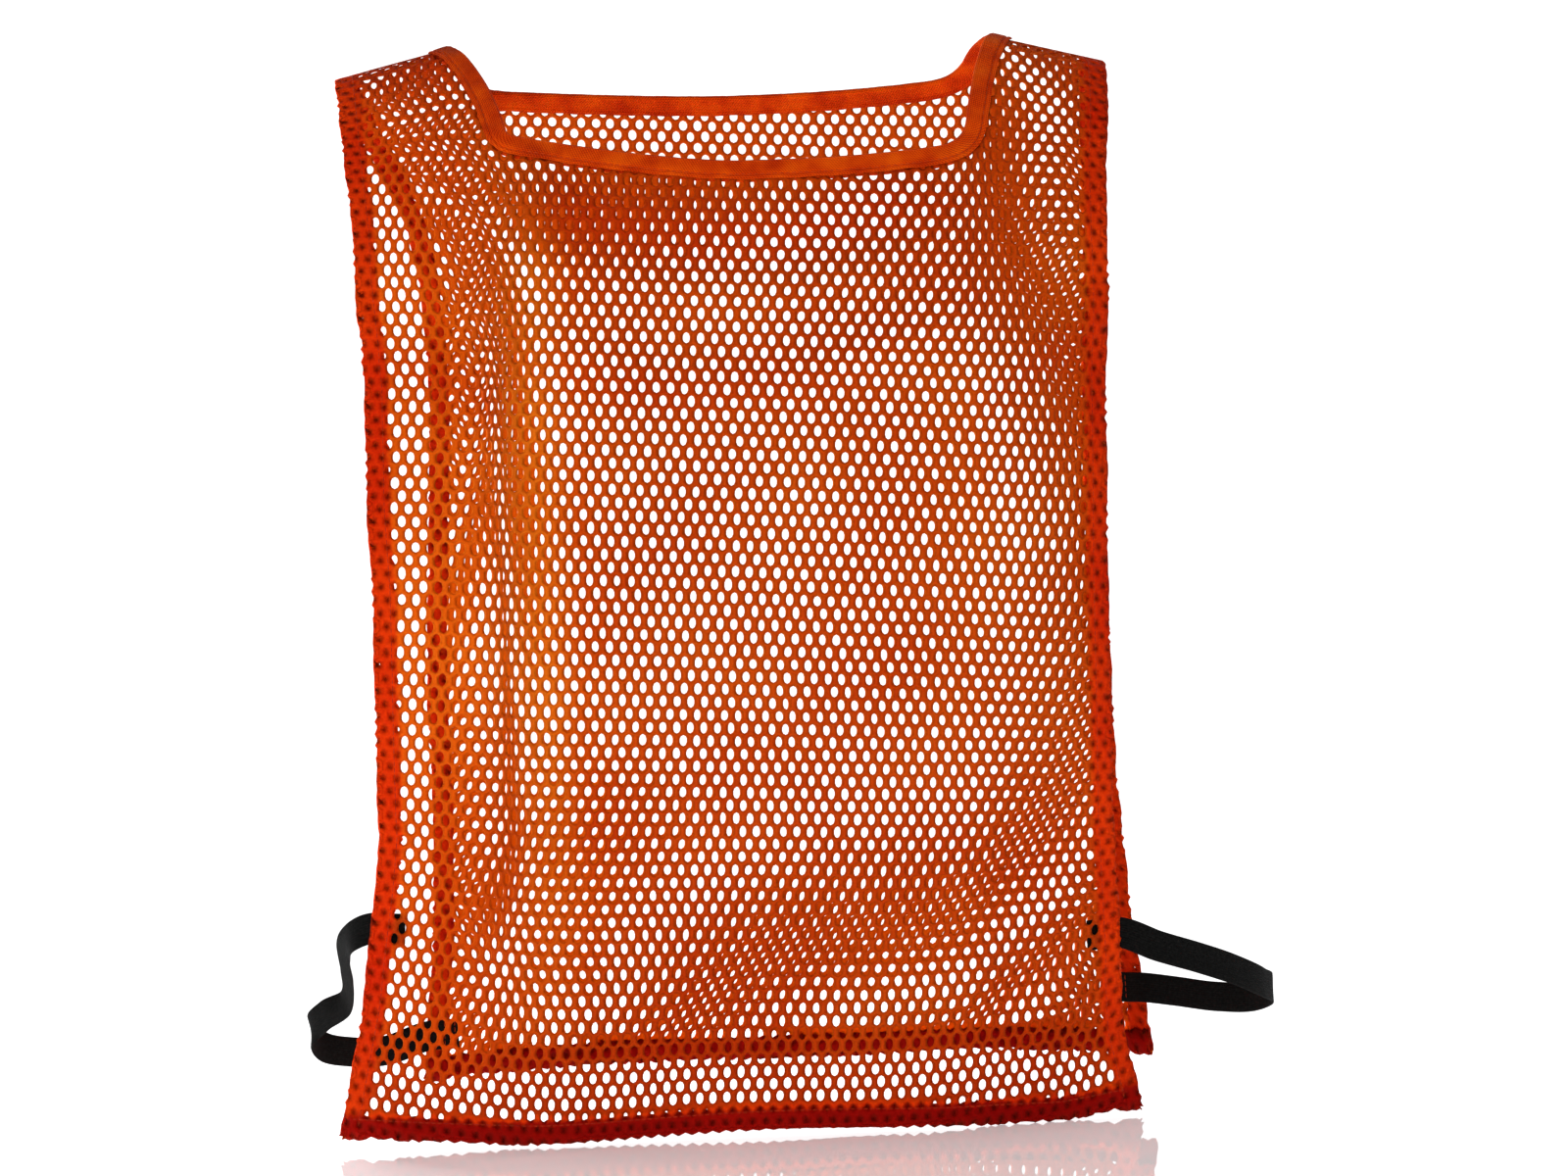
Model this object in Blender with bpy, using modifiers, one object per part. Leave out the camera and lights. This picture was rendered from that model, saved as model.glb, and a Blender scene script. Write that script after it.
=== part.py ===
"""Mesh training vest, worn shape: a front and a back panel joined over the shoulders.

The origin is the middle of the shoulder ridge, where a wearer carries the vest.
-Y points to the front and +Z up, and +X to the right-hand side seen from the front;
"left" in a name is the -X side and "right" the +X side. All sizes are in metres.

Each panel is described on its flat cloth, with u across (0 on the middle line)
and v down from the shoulder ridge, and then draped over a torso by one function.
Every other piece is placed on a draped panel, at a height above or below its cloth.
"""

import math

import bmesh
import bpy
import numpy as np
from mathutils import Vector

# --- Cloth ---
CLOTH = 0.0008
GAP = 0.0003
PANEL_LENGTH = 0.570
HEM_WIDTH = 0.0105
BOTTOM_HEM = 0.0115
HEM_CLEARANCE = 0.001
HEM_FIRST_ROW = 3
FOLD_INSET = 0.0003
END_SHARE = 0.998
# Half of the panel's width at distances down the cloth.
EDGE_AT = (0.0, 0.06, 0.13, 0.20, 0.42, 0.50, PANEL_LENGTH)
EDGE_HALF = (0.1925, 0.190, 0.187, 0.1865, 0.1865, 0.190, 0.198)

# --- Shoulders and neck ---
NECK_TOP_HALF = 0.136
SHOULDER_DROP = 0.014
SHOULDER_FADE = 0.12
SEAM_CLEARANCE = 0.0005
# Half-widths at the lower corners, and how far down the cloth the corners and the middle lie.
FRONT_NECK = {
    "left": 0.1045,
    "right": 0.1145,
    "left_down": 0.070,
    "right_down": 0.0805,
    "middle": 0.088,
}
BACK_NECK = {
    "left": 0.118,
    "right": 0.118,
    "left_down": 0.036,
    "right_down": 0.036,
    "middle": 0.044,
}

# --- Neck binding: a tape folded over the cut edge ---
TAPE = 0.0008
TAPE_WIDTH = 0.0095
TAPE_GAP = 0.0006
CORNER_RADIUS = {"left": 0.006, "right": 0.014}
# The panel's cut edge stops this far inside the tape's fold.
NECK_INSET = TAPE + TAPE_GAP + CLOTH
MIN_STEP = 0.004

# --- Drape: slope of the cloth from vertical, in degrees, down its middle line ---
FRONT_SLOPES = (
    (0.0, 84.0),
    (0.02, 44.0),
    (0.06, 31.0),
    (0.11, 22.0),
    (0.17, 14.0),
    (0.23, 7.0),
    (0.29, 0.0),
    (0.38, -8.0),
    (PANEL_LENGTH, -9.0),
)
BACK_SLOPES = (
    (0.0, 84.0),
    (0.02, 52.0),
    (0.06, 40.0),
    (0.11, 30.0),
    (0.17, 15.0),
    (0.23, 5.0),
    (0.29, -2.0),
    (0.38, -8.0),
    (PANEL_LENGTH, -8.0),
)
PROFILE_STEP = 0.001
# The middle of a panel lies flat on the chest, and its sides turn back towards the arms.
PLATE_HALF = 0.100
EASE = 0.25
SIDE_ARC_EXCESS = 0.6
DOWN_AT = (0.0, 0.05, 0.12, 0.20, 0.30, 0.42, PANEL_LENGTH)
FRONT_SIDE_DEPTH = (0.0, 0.008, 0.024, 0.036, 0.034, 0.028, 0.018)
BACK_SIDE_DEPTH = (0.0, 0.006, 0.022, 0.036, 0.037, 0.036, 0.038)
STRETCH = (1.0, 1.02, 1.034, 1.03, 1.0, 0.977, 0.987)
FRONT_SHIFT = (0.0, 0.002, 0.004, 0.005, 0.005, 0.005, 0.0)
# The back panel hangs askew: its hem swings towards +X and turns a little with it.
BACK_SWAY = 0.0225
BACK_SWAY_BEND = 0.6
BACK_TURN = math.radians(1.8)
SWAY_FADE = 0.16
# Its lowest part rides up a little, more on the -X side: the lift in the middle, and its slope in u.
BACK_LIFT = 0.0105
BACK_LIFT_SLOPE = -0.0158
BACK_LIFT_FROM = 0.36
# Below the armhole its -X side wraps round the wearer's side: how far inwards, and how far forwards.
BACK_TUCK = (0.019, 0.014)
TUCK_DEEPEST = 0.13

# --- Elastic straps ---
STRAP_WIDTH = 0.015
STRAP_THICKNESS = 0.0012
STRAP_COLUMNS = 44
FRONT_STRAP_AT = {"left": 0.466, "right": 0.480}
BACK_STRAP_AT = {"left": 0.5475, "right": 0.537}
STRAP_BOND = 0.016
STRAP_LIFT = 0.0010
# Free points of each strap, from the front panel's edge to the back one's, each with the
# direction of the strap's width there. The left strap droops and twists once on its way.
LEFT_STRAP_FREE = (
    ((-0.190, -0.045, -0.440), (0.1, -0.2, -1.0)),
    ((-0.1965, -0.031, -0.449), (0.5, -0.6, -0.7)),
    ((-0.196, -0.021, -0.462), (0.42, -0.9, -0.1)),
    ((-0.198, -0.009, -0.476), (0.35, -0.6, -0.6)),
    ((-0.210, 0.002, -0.4835), (0.15, -0.1, -1.0)),
    ((-0.2175, 0.0115, -0.4915), (0.1, 0.0, -1.0)),
    ((-0.2125, 0.0215, -0.5010), (0.1, 0.0, -1.0)),
    ((-0.200, 0.0285, -0.5045), (0.0, 0.0, -1.0)),
    ((-0.184, 0.033, -0.505), (0.0, 0.0, -1.0)),
)
RIGHT_STRAP_FREE = (
    ((0.206, -0.044, -0.455), (0.25, 0.1, -1.0)),
    ((0.228, -0.034, -0.4625), (0.3, 0.1, -1.0)),
    ((0.247, -0.022, -0.470), (0.3, 0.1, -1.0)),
    ((0.262, -0.006, -0.478), (0.15, 0.1, -1.0)),
    ((0.2665, 0.006, -0.4815), (0.0, 0.0, -1.0)),
    ((0.258, 0.018, -0.4865), (0.0, 0.0, -1.0)),
    ((0.240, 0.028, -0.4870), (0.0, 0.0, -1.0)),
    ((0.220, 0.036, -0.4845), (0.0, 0.0, -1.0)),
)

# --- Threads ---
THREAD_RADIUS = 0.00025
THREAD_SIDES = 1
STITCH_INSET = 0.0020
THREAD_HEIGHT = CLOTH / 2 + GAP + THREAD_RADIUS
BARTACK_ROWS = 3
BARTACK_PITCH = 0.0030
BARTACK_INSET = 0.0020
BARTACK_SLACK = 0.0003

# --- Grids: the rows and columns of a panel's cloth, which every piece on it follows ---
SHOULDER_COLUMNS = 5
NECK_COLUMNS = 14
COLUMNS = 2 * SHOULDER_COLUMNS + NECK_COLUMNS
NECK_ROWS = 8
NECK_ROW_GROWTH = 1.6
BODY_ROWS = 18
ROWS = NECK_ROWS + BODY_ROWS

ORANGE = (0.62, 0.075, 0.008, 1.0)
DEEP_ORANGE = (0.52, 0.040, 0.006, 1.0)
TAPE_ORANGE = (0.60, 0.085, 0.010, 1.0)
THREAD_ORANGE = (0.66, 0.11, 0.015, 1.0)
BLACK = (0.006, 0.006, 0.006, 1.0)


# ---------------------------------------------------------------- drape
def smooth(t):
    """0 below 0, 1 above 1, and an S curve between."""
    t = min(max(t, 0.0), 1.0)
    return t * t * (3.0 - 2.0 * t)


def ease(t):
    """0 below 0, rising gently at first and then straight to 1."""
    t = max(t, 0.0)
    return t * t * (1.0 + EASE) / (t + EASE)


def profile(slopes):
    """Distances down the cloth with the forward reach and the drop at each."""
    at = np.arange(0.0, PANEL_LENGTH + PROFILE_STEP, PROFILE_STEP)
    turn = np.radians(np.interp(at, [s[0] for s in slopes], [s[1] for s in slopes]))
    reach = np.concatenate([[0.0], np.cumsum(np.sin(turn[:-1]) * PROFILE_STEP)])
    drop = np.concatenate([[0.0], np.cumsum(np.cos(turn[:-1]) * PROFILE_STEP)])
    return at, reach, drop


FRONT_PROFILE = profile(FRONT_SLOPES)
BACK_PROFILE = profile(BACK_SLOPES)


def edge_half(v):
    return float(np.interp(v, EDGE_AT, EDGE_HALF))


def shoulder_drop(u, v):
    """The ridge falls from the neck to the arm, and this fades down the cloth."""
    run = (abs(u) - NECK_TOP_HALF) / (EDGE_HALF[0] - NECK_TOP_HALF)
    return SHOULDER_DROP * min(max(run, 0.0), 1.2) * (1.0 - smooth(v / SHOULDER_FADE))


def across(u, v, depth):
    """Sideways place of a cloth point, with its turned-back side, and how far that turns."""
    side = ease((abs(u) - PLATE_HALF) / (EDGE_HALF[3] - PLATE_HALF))
    plate = min(abs(u), PLATE_HALF) * float(np.interp(v, DOWN_AT, STRETCH))
    narrowing = SIDE_ARC_EXCESS * depth * depth / (EDGE_HALF[3] - PLATE_HALF)
    x = plate + max(abs(u) - PLATE_HALF, 0.0) - narrowing * side
    return math.copysign(x, u), depth * side


def front_point(u, v):
    """Middle of the front panel's cloth at (u, v)."""
    reach = float(np.interp(v, FRONT_PROFILE[0], FRONT_PROFILE[1]))
    drop = float(np.interp(v, FRONT_PROFILE[0], FRONT_PROFILE[2]))
    x, turned = across(u, v, float(np.interp(v, DOWN_AT, FRONT_SIDE_DEPTH)))
    x += float(np.interp(v, DOWN_AT, FRONT_SHIFT))
    return Vector((x, turned - reach, -drop - shoulder_drop(u, v)))


def tuck(u, v):
    """How much of its tuck the back panel has at (u, v), from 0 to 1."""
    return smooth(v / TUCK_DEEPEST) * (1.0 - smooth((v - TUCK_DEEPEST) / 0.25)) * smooth((-u - 0.10) / 0.085)


def back_point(u, v):
    """Middle of the back panel's cloth at (u, v)."""
    reach = float(np.interp(v, BACK_PROFILE[0], BACK_PROFILE[1]))
    drop = float(np.interp(v, BACK_PROFILE[0], BACK_PROFILE[2]))
    x, turned = across(u, v, float(np.interp(v, DOWN_AT, BACK_SIDE_DEPTH)))
    swung = smooth(v / SWAY_FADE)
    z = -drop - shoulder_drop(u, v) + x * math.sin(BACK_TURN) * swung
    x += BACK_SWAY * swung * (max(v, 0.0) / PANEL_LENGTH) ** BACK_SWAY_BEND
    z += (BACK_LIFT + BACK_LIFT_SLOPE * u) * smooth((v - BACK_LIFT_FROM) / (PANEL_LENGTH - BACK_LIFT_FROM))
    tucked = tuck(u, v)
    return Vector((x + BACK_TUCK[0] * tucked, reach - turned - BACK_TUCK[1] * tucked, z))


def on_cloth(panel, u, v, height):
    """A point at a height over the cloth's outer side, or under it where negative."""
    step = 0.0005
    right = panel(u + step, v) - panel(u - step, v)
    down = panel(u, v + step) - panel(u, v - step)
    outward = right.cross(down) if panel is back_point else down.cross(right)
    return panel(u, v) + outward.normalized() * height


# ---------------------------------------------------------------- outlines
def neck_side(neck, hand, v):
    """Half-width of the neck opening at v, down to its corner."""
    t = min(v / neck[f"{hand}_down"], 1.0)
    return NECK_TOP_HALF + (neck[hand] - NECK_TOP_HALF) * t * (1.5 - 0.5 * t)


def neck_bottom(neck, u):
    """How far down the cloth the neck opening's lower edge lies at u."""
    middle = (neck["right"] - neck["left"]) / 2.0
    half = (neck["right"] + neck["left"]) / 2.0
    t = min(abs(u - middle) / half, 1.0)
    corner = neck["left_down"] if u < middle else neck["right_down"]
    return neck["middle"] + (corner - neck["middle"]) * t * t


def spaced(first, last, inset_first, inset_last, steps, k):
    """Step k of an even division whose first and last steps have their own widths."""
    if k <= 0:
        return first
    if k >= steps:
        return last
    share = (k - 1) / (steps - 2)
    return first + inset_first + (last - inset_last - first - inset_first) * share


def cloth_at(neck, column, row):
    """Flat place (u, v) of a corner of a panel's grid."""
    from_edge = min(column, COLUMNS - column)
    sign, hand = (-1.0, "left") if column <= COLUMNS / 2 else (1.0, "right")
    beside_neck = from_edge < SHOULDER_COLUMNS
    if beside_neck or row <= NECK_ROWS and from_edge == SHOULDER_COLUMNS:
        corner = neck[f"{hand}_down"] + NECK_INSET
        down = min(row / NECK_ROWS, 1.0) ** NECK_ROW_GROWTH
        top = SEAM_CLEARANCE + (corner - SEAM_CLEARANCE) * down
    else:
        left, right = -neck["left"] - NECK_INSET, neck["right"] + NECK_INSET
        u = left + (right - left) * (column - SHOULDER_COLUMNS) / NECK_COLUMNS
        top = neck_bottom(neck, u) + NECK_INSET
    v = top
    if row > NECK_ROWS:
        v = spaced(top, PANEL_LENGTH, TAPE_WIDTH, BOTTOM_HEM, BODY_ROWS, row - NECK_ROWS)
    if beside_neck or from_edge == SHOULDER_COLUMNS:
        inner = neck_side(neck, hand, v) + NECK_INSET
        edge = edge_half(v)
        u = sign * spaced(edge, inner, -HEM_WIDTH, -TAPE_WIDTH, SHOULDER_COLUMNS, from_edge)
    return u, v


def neck_path(neck):
    """Flat points (u, v) round the neck opening, from the left shoulder to the right one."""
    sides = {}
    for hand, sign in (("left", -1.0), ("right", 1.0)):
        radius, corner_down = CORNER_RADIUS[hand], neck[f"{hand}_down"]
        beside = SHOULDER_COLUMNS if sign < 0 else COLUMNS - SHOULDER_COLUMNS
        rows = [cloth_at(neck, beside, row)[1] for row in range(NECK_ROWS)]
        rows = [v for v in rows if v < corner_down - 1.2 * radius]
        rows.append(corner_down - radius)
        line = [Vector((sign * neck_side(neck, hand, v), v)) for v in rows]
        corner = Vector((sign * neck[hand], corner_down))
        u_far = sign * (neck[hand] - radius)
        far = Vector((u_far, neck_bottom(neck, u_far)))
        start = line[-1].copy()
        for t in (0.25, 0.5, 0.75):
            line.append(start.lerp(corner, t).lerp(corner.lerp(far, t), t))
        sides[hand] = line + [far]
    left, right = sides["left"][-1].x, sides["right"][-1].x
    us = [cloth_at(neck, SHOULDER_COLUMNS + k, NECK_ROWS)[0] for k in range(1, NECK_COLUMNS)]
    us = [u for u in us if left + MIN_STEP < u < right - MIN_STEP]
    bottom = [Vector((u, neck_bottom(neck, u))) for u in us]
    return sides["left"] + bottom + sides["right"][::-1]


# ---------------------------------------------------------------- makers
def clear_scene():
    for old in list(bpy.data.objects):
        bpy.data.objects.remove(old, do_unlink=True)


def make_material(name, colour, roughness):
    material = bpy.data.materials.new(name)
    material.use_nodes = True
    shader = material.node_tree.nodes["Principled BSDF"]
    shader.inputs["Base Color"].default_value = colour
    shader.inputs["Roughness"].default_value = roughness
    shader.inputs["Metallic"].default_value = 0.0
    material.diffuse_color = colour
    return material


def add_object(name, data, material):
    made = bpy.data.objects.new(name, data)
    data.materials.append(material)
    vest.objects.link(made)
    return made


def add_sheet(name, columns, rows, place, thickness, material, keep=None):
    """A grid of cloth: place(column, row) gives each corner, and Solidify its thickness."""
    bm = bmesh.new()
    bmesh.ops.create_grid(bm, x_segments=columns, y_segments=rows, size=0.5)

    def cell(co):
        return (co.x + 0.5) * columns, (0.5 - co.y) * rows

    if keep:
        cut = [f for f in bm.faces if not keep(*cell(f.calc_center_median()))]
        bmesh.ops.delete(bm, geom=cut, context="FACES")
    for vertex in bm.verts:
        column, row = cell(vertex.co)
        vertex.co = place(round(column), round(row))
    mesh = bpy.data.meshes.new(name)
    bm.to_mesh(mesh)
    bm.free()
    made = add_object(name, mesh, material)
    solid = made.modifiers.new("cloth", "SOLIDIFY")
    solid.thickness = thickness
    solid.offset = 0.0
    solid.use_even_offset = True
    return made


def add_thread(name, line, material):
    """Sewing thread along a line of points."""
    curve = bpy.data.curves.new(name, "CURVE")
    curve.dimensions = "3D"
    curve.bevel_depth = THREAD_RADIUS
    curve.bevel_resolution = THREAD_SIDES
    curve.use_fill_caps = True
    spline = curve.splines.new("POLY")
    spline.points.add(len(line) - 1)
    for point, co in zip(spline.points, line):
        point.co = (*co, 1.0)
    return add_object(name, curve, material)


# ---------------------------------------------------------------- sub-parts
def add_panel(name, panel, neck, material):
    def place(column, row):
        return panel(*cloth_at(neck, column, row))

    def keep(column, row):
        beside_neck = min(column, COLUMNS - column) < SHOULDER_COLUMNS
        return beside_neck or row > NECK_ROWS

    add_sheet(name, COLUMNS, ROWS, place, CLOTH, material, keep)


def add_side_hem(name, panel, neck, sign, material):
    """The panel's side edge turned under, one cloth inside the panel."""

    def place(column, row):
        v = cloth_at(neck, edge_column, row + HEM_FIRST_ROW)[1] - (HEM_CLEARANCE if row == rows else 0.0)
        u = sign * (edge_half(v) - FOLD_INSET - (HEM_WIDTH - FOLD_INSET) * column)
        return on_cloth(panel, u, v, -CLOTH - GAP)

    rows = ROWS - 1 - HEM_FIRST_ROW
    edge_column = 0 if sign < 0 else COLUMNS
    add_sheet(name, 1, rows, place, CLOTH, material)


def add_bottom_hem(name, panel, neck, material):
    def place(column, row):
        u, v = cloth_at(neck, column, ROWS - row)
        v -= FOLD_INSET * (1 - row)
        return on_cloth(panel, u * END_SHARE, v, -CLOTH - GAP)

    add_sheet(name, COLUMNS, 1, place, CLOTH, material)


def add_binding(name, panel, neck, material):
    """A tape folded over the neck edge: outer leg, round fold and inner leg."""
    path = neck_path(neck)
    reach = (TAPE + CLOTH) / 2 + TAPE_GAP
    fold = [(reach * (1.0 - math.sin(a)), reach * math.cos(a)) for a in
            (math.pi * k / 4 for k in range(5))]
    section = [(TAPE_WIDTH, reach)] + fold + [(TAPE_WIDTH, -reach)]

    def place(column, row):
        before = path[max(column - 1, 0)]
        after = path[min(column + 1, len(path) - 1)]
        along = (after - before).normalized()
        into_cloth = Vector((-along.y, along.x))
        inward, height = section[row]
        flat = path[column] + into_cloth * inward
        return on_cloth(panel, flat.x, max(flat.y, SEAM_CLEARANCE / 2), height)

    add_sheet(name, len(path) - 1, len(section) - 1, place, TAPE, material)


def shoulder_columns(neck, sign):
    """Flat u places from the side edge to the neck tape, on the ridge."""
    us = [abs(cloth_at(neck, k, 0)[0]) for k in range(SHOULDER_COLUMNS)]
    us[0] -= FOLD_INSET
    us[-1] += HEM_CLEARANCE + NECK_INSET
    return [sign * u for u in us]


def add_shoulder_seam(name, sign, material):
    """Seam allowance of both panels, turned to the back inside the shoulder."""
    us = shoulder_columns(BACK_NECK, sign)

    def place(column, row):
        v = cloth_at(BACK_NECK, 0, row + 1)[1]
        return on_cloth(back_point, us[column], v, -CLOTH - GAP)

    add_sheet(name, len(us) - 1, 1, place, CLOTH, material)


def strap_height(from_edge):
    """Height of a strap's middle over its panel: it lifts off as it nears the edge."""
    share = 1.0 - from_edge / STRAP_BOND
    return -(1.5 * CLOTH + 2 * GAP + STRAP_THICKNESS / 2) - STRAP_LIFT * share * share


def strap_knots(hand, free):
    """Points along a strap, from its front sewn end to its back one, with its width there."""
    sign = -1.0 if hand == "left" else 1.0
    ends = []
    for panel, v in ((front_point, FRONT_STRAP_AT[hand]), (back_point, BACK_STRAP_AT[hand])):
        edge = edge_half(v)
        down = (panel(sign * edge, v + 0.005) - panel(sign * edge, v - 0.005)).normalized()
        end = []
        for from_edge in (STRAP_BOND, STRAP_BOND / 2, 0.0):
            u = sign * (edge - from_edge)
            end.append((on_cloth(panel, u, v, strap_height(from_edge)), down))
        ends.append(end)
    loose = [(Vector(point), Vector(width).normalized()) for point, width in free]
    return ends[0] + loose + ends[1][::-1]


def curve_through(knots, count):
    """Evenly spaced points of a smooth curve, each with its blended width direction."""
    points = np.array([point for point, width in knots])
    gaps = np.linalg.norm(np.diff(points, axis=0), axis=1)
    slopes = np.diff(points, axis=0) / gaps[:, None]
    weights = gaps[1:] / (gaps[1:] + gaps[:-1])
    inner = slopes[:-1] * weights[:, None] + slopes[1:] * (1.0 - weights[:, None])
    tangents = np.vstack([slopes[:1], inner, slopes[-1:]])
    dense = []
    for k, gap in enumerate(gaps):
        for t in (n / 24 for n in range(24)):
            start, end = (1 + 2 * t) * (1 - t) ** 2, t * t * (3 - 2 * t)
            leave, arrive = t * (1 - t) ** 2 * gap, t * t * (t - 1) * gap
            point = points[k] * start + points[k + 1] * end
            point += tangents[k] * leave + tangents[k + 1] * arrive
            dense.append((*point, *knots[k][1].lerp(knots[k + 1][1], end)))
    dense.append((*points[-1], *knots[-1][1]))
    dense = np.array(dense)
    steps = np.linalg.norm(np.diff(dense[:, :3], axis=0), axis=1)
    run = np.concatenate([[0.0], np.cumsum(steps)])
    spots = np.linspace(0.0, run[-1], count)
    rows = np.stack([np.interp(spots, run, column) for column in dense.T], axis=1)
    return [(Vector(row[:3]), Vector(row[3:])) for row in rows]


def add_strap(name, hand, free, material):
    line = curve_through(strap_knots(hand, free), STRAP_COLUMNS + 1)

    def place(column, row):
        before = line[max(column - 1, 0)][0]
        after = line[min(column + 1, STRAP_COLUMNS)][0]
        along = (after - before).normalized()
        point, width = line[column]
        width = (width - along * width.dot(along)).normalized()
        return point + width * STRAP_WIDTH * (row / 2 - 0.5)

    add_sheet(name, STRAP_COLUMNS, 2, place, STRAP_THICKNESS, material)


def add_side_thread(name, panel, neck, sign, material):
    line = []
    edge_column = 0 if sign < 0 else COLUMNS
    for row in range(HEM_FIRST_ROW, ROWS):
        v = cloth_at(neck, edge_column, row)[1]
        ends = [on_cloth(panel, sign * u, v, THREAD_HEIGHT) for u in
                (edge_half(v) - HEM_WIDTH, edge_half(v))]
        line.append(ends[0].lerp(ends[1], STITCH_INSET / HEM_WIDTH))
    add_thread(name, line, material)


def add_bottom_thread(name, panel, neck, material):
    v = PANEL_LENGTH - BOTTOM_HEM + STITCH_INSET
    us = [cloth_at(neck, column, ROWS)[0] * END_SHARE for column in range(COLUMNS + 1)]
    add_thread(name, [on_cloth(panel, u, v, THREAD_HEIGHT) for u in us], material)


def add_neck_thread(name, panel, neck, material):
    path = neck_path(neck)
    height = CLOTH / 2 + TAPE_GAP + TAPE + GAP + THREAD_RADIUS
    line = []
    for k in range(1, len(path) - 1):
        along = (path[k + 1] - path[k - 1]).normalized()
        flat = path[k] + Vector((-along.y, along.x)) * (TAPE_WIDTH - STITCH_INSET)
        line.append(on_cloth(panel, flat.x, flat.y, height))
    add_thread(name, line, material)


def add_shoulder_thread(name, sign, material):
    us = shoulder_columns(BACK_NECK, sign)
    v = cloth_at(BACK_NECK, 0, 2)[1]
    add_thread(name, [on_cloth(back_point, u, v, THREAD_HEIGHT) for u in us], material)


def add_bartack(name, panel, sign, v_middle, material):
    """One thread to and fro across a strap's sewn end, on the strap's free face."""
    over_strap = STRAP_THICKNESS / 2 + GAP + THREAD_RADIUS + BARTACK_SLACK
    line = []
    for row in range(BARTACK_ROWS):
        from_edge = STRAP_BOND - BARTACK_INSET - BARTACK_PITCH * row
        u = sign * (edge_half(v_middle) - from_edge)
        turn = 1.0 if row % 2 == 0 else -1.0
        vs = [v_middle + STRAP_WIDTH * 0.4 * t * turn for t in (-1.0, -0.5, 0.0, 0.5, 1.0)]
        line += [on_cloth(panel, u, v, strap_height(from_edge) - over_strap) for v in vs]
    add_thread(name, line, material)


def build():
    mesh_cloth = make_material("mesh_cloth", ORANGE, 0.75)
    hem_cloth = make_material("hem_cloth", DEEP_ORANGE, 0.8)
    tape = make_material("binding_tape", TAPE_ORANGE, 0.7)
    elastic = make_material("elastic", BLACK, 0.85)
    thread = make_material("thread", THREAD_ORANGE, 0.6)
    for side, panel, neck in (("front", front_point, FRONT_NECK), ("back", back_point, BACK_NECK)):
        add_panel(f"{side}_panel", panel, neck, mesh_cloth)
        add_bottom_hem(f"{side}_bottom_hem", panel, neck, hem_cloth)
        add_binding(f"{side}_neck_binding", panel, neck, tape)
        add_bottom_thread(f"{side}_bottom_hem_thread", panel, neck, thread)
        add_neck_thread(f"{side}_neck_thread", panel, neck, thread)
        for hand, sign in (("left", -1.0), ("right", 1.0)):
            add_side_hem(f"{side}_{hand}_side_hem", panel, neck, sign, hem_cloth)
            add_side_thread(f"{side}_{hand}_hem_thread", panel, neck, sign, thread)
            v = (FRONT_STRAP_AT if side == "front" else BACK_STRAP_AT)[hand]
            add_bartack(f"{side}_{hand}_bartack", panel, sign, v, thread)
    for hand, sign in (("left", -1.0), ("right", 1.0)):
        add_shoulder_seam(f"{hand}_shoulder_seam", sign, hem_cloth)
        add_shoulder_thread(f"{hand}_shoulder_thread", sign, thread)
    add_strap("left_strap", "left", LEFT_STRAP_FREE, elastic)
    add_strap("right_strap", "right", RIGHT_STRAP_FREE, elastic)


clear_scene()
vest = bpy.data.collections.new("mesh_training_vest")
bpy.context.scene.collection.children.link(vest)
build()
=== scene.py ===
"""Looks of the mesh training vest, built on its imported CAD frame.

Each panel is knitted here hole by hole. The knit is laid out on the flat cloth, with u across
(0 on the middle line) and v down from the shoulder ridge. It runs on past the side and bottom
edges, where it is folded under to make the hems, and is then laid on the draped panel.
All sizes are in metres, in the frame of the CAD model.
"""

import math

import bmesh
import bpy
import numpy as np
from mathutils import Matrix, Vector


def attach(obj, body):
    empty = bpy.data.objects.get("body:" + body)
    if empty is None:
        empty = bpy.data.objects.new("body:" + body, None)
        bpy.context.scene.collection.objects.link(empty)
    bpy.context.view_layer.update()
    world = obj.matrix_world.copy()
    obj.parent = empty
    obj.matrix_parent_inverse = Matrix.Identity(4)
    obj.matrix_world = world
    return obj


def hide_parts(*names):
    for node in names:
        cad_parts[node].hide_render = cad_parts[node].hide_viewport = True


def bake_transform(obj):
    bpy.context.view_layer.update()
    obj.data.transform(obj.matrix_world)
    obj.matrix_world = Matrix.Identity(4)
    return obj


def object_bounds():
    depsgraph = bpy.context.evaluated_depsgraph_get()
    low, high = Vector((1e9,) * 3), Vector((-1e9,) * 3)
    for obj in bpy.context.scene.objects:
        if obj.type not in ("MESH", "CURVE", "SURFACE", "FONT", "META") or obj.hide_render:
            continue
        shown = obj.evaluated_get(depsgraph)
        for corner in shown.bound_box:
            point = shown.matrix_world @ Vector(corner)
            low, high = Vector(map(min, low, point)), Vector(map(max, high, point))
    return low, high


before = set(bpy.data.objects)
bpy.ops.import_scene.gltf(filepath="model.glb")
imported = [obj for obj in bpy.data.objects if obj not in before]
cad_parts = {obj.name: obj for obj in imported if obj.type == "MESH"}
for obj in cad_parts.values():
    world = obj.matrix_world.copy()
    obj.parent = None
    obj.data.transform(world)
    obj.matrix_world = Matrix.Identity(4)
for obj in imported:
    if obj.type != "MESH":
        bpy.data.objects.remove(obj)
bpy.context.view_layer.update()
RANDOM = np.random.default_rng(20)

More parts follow.
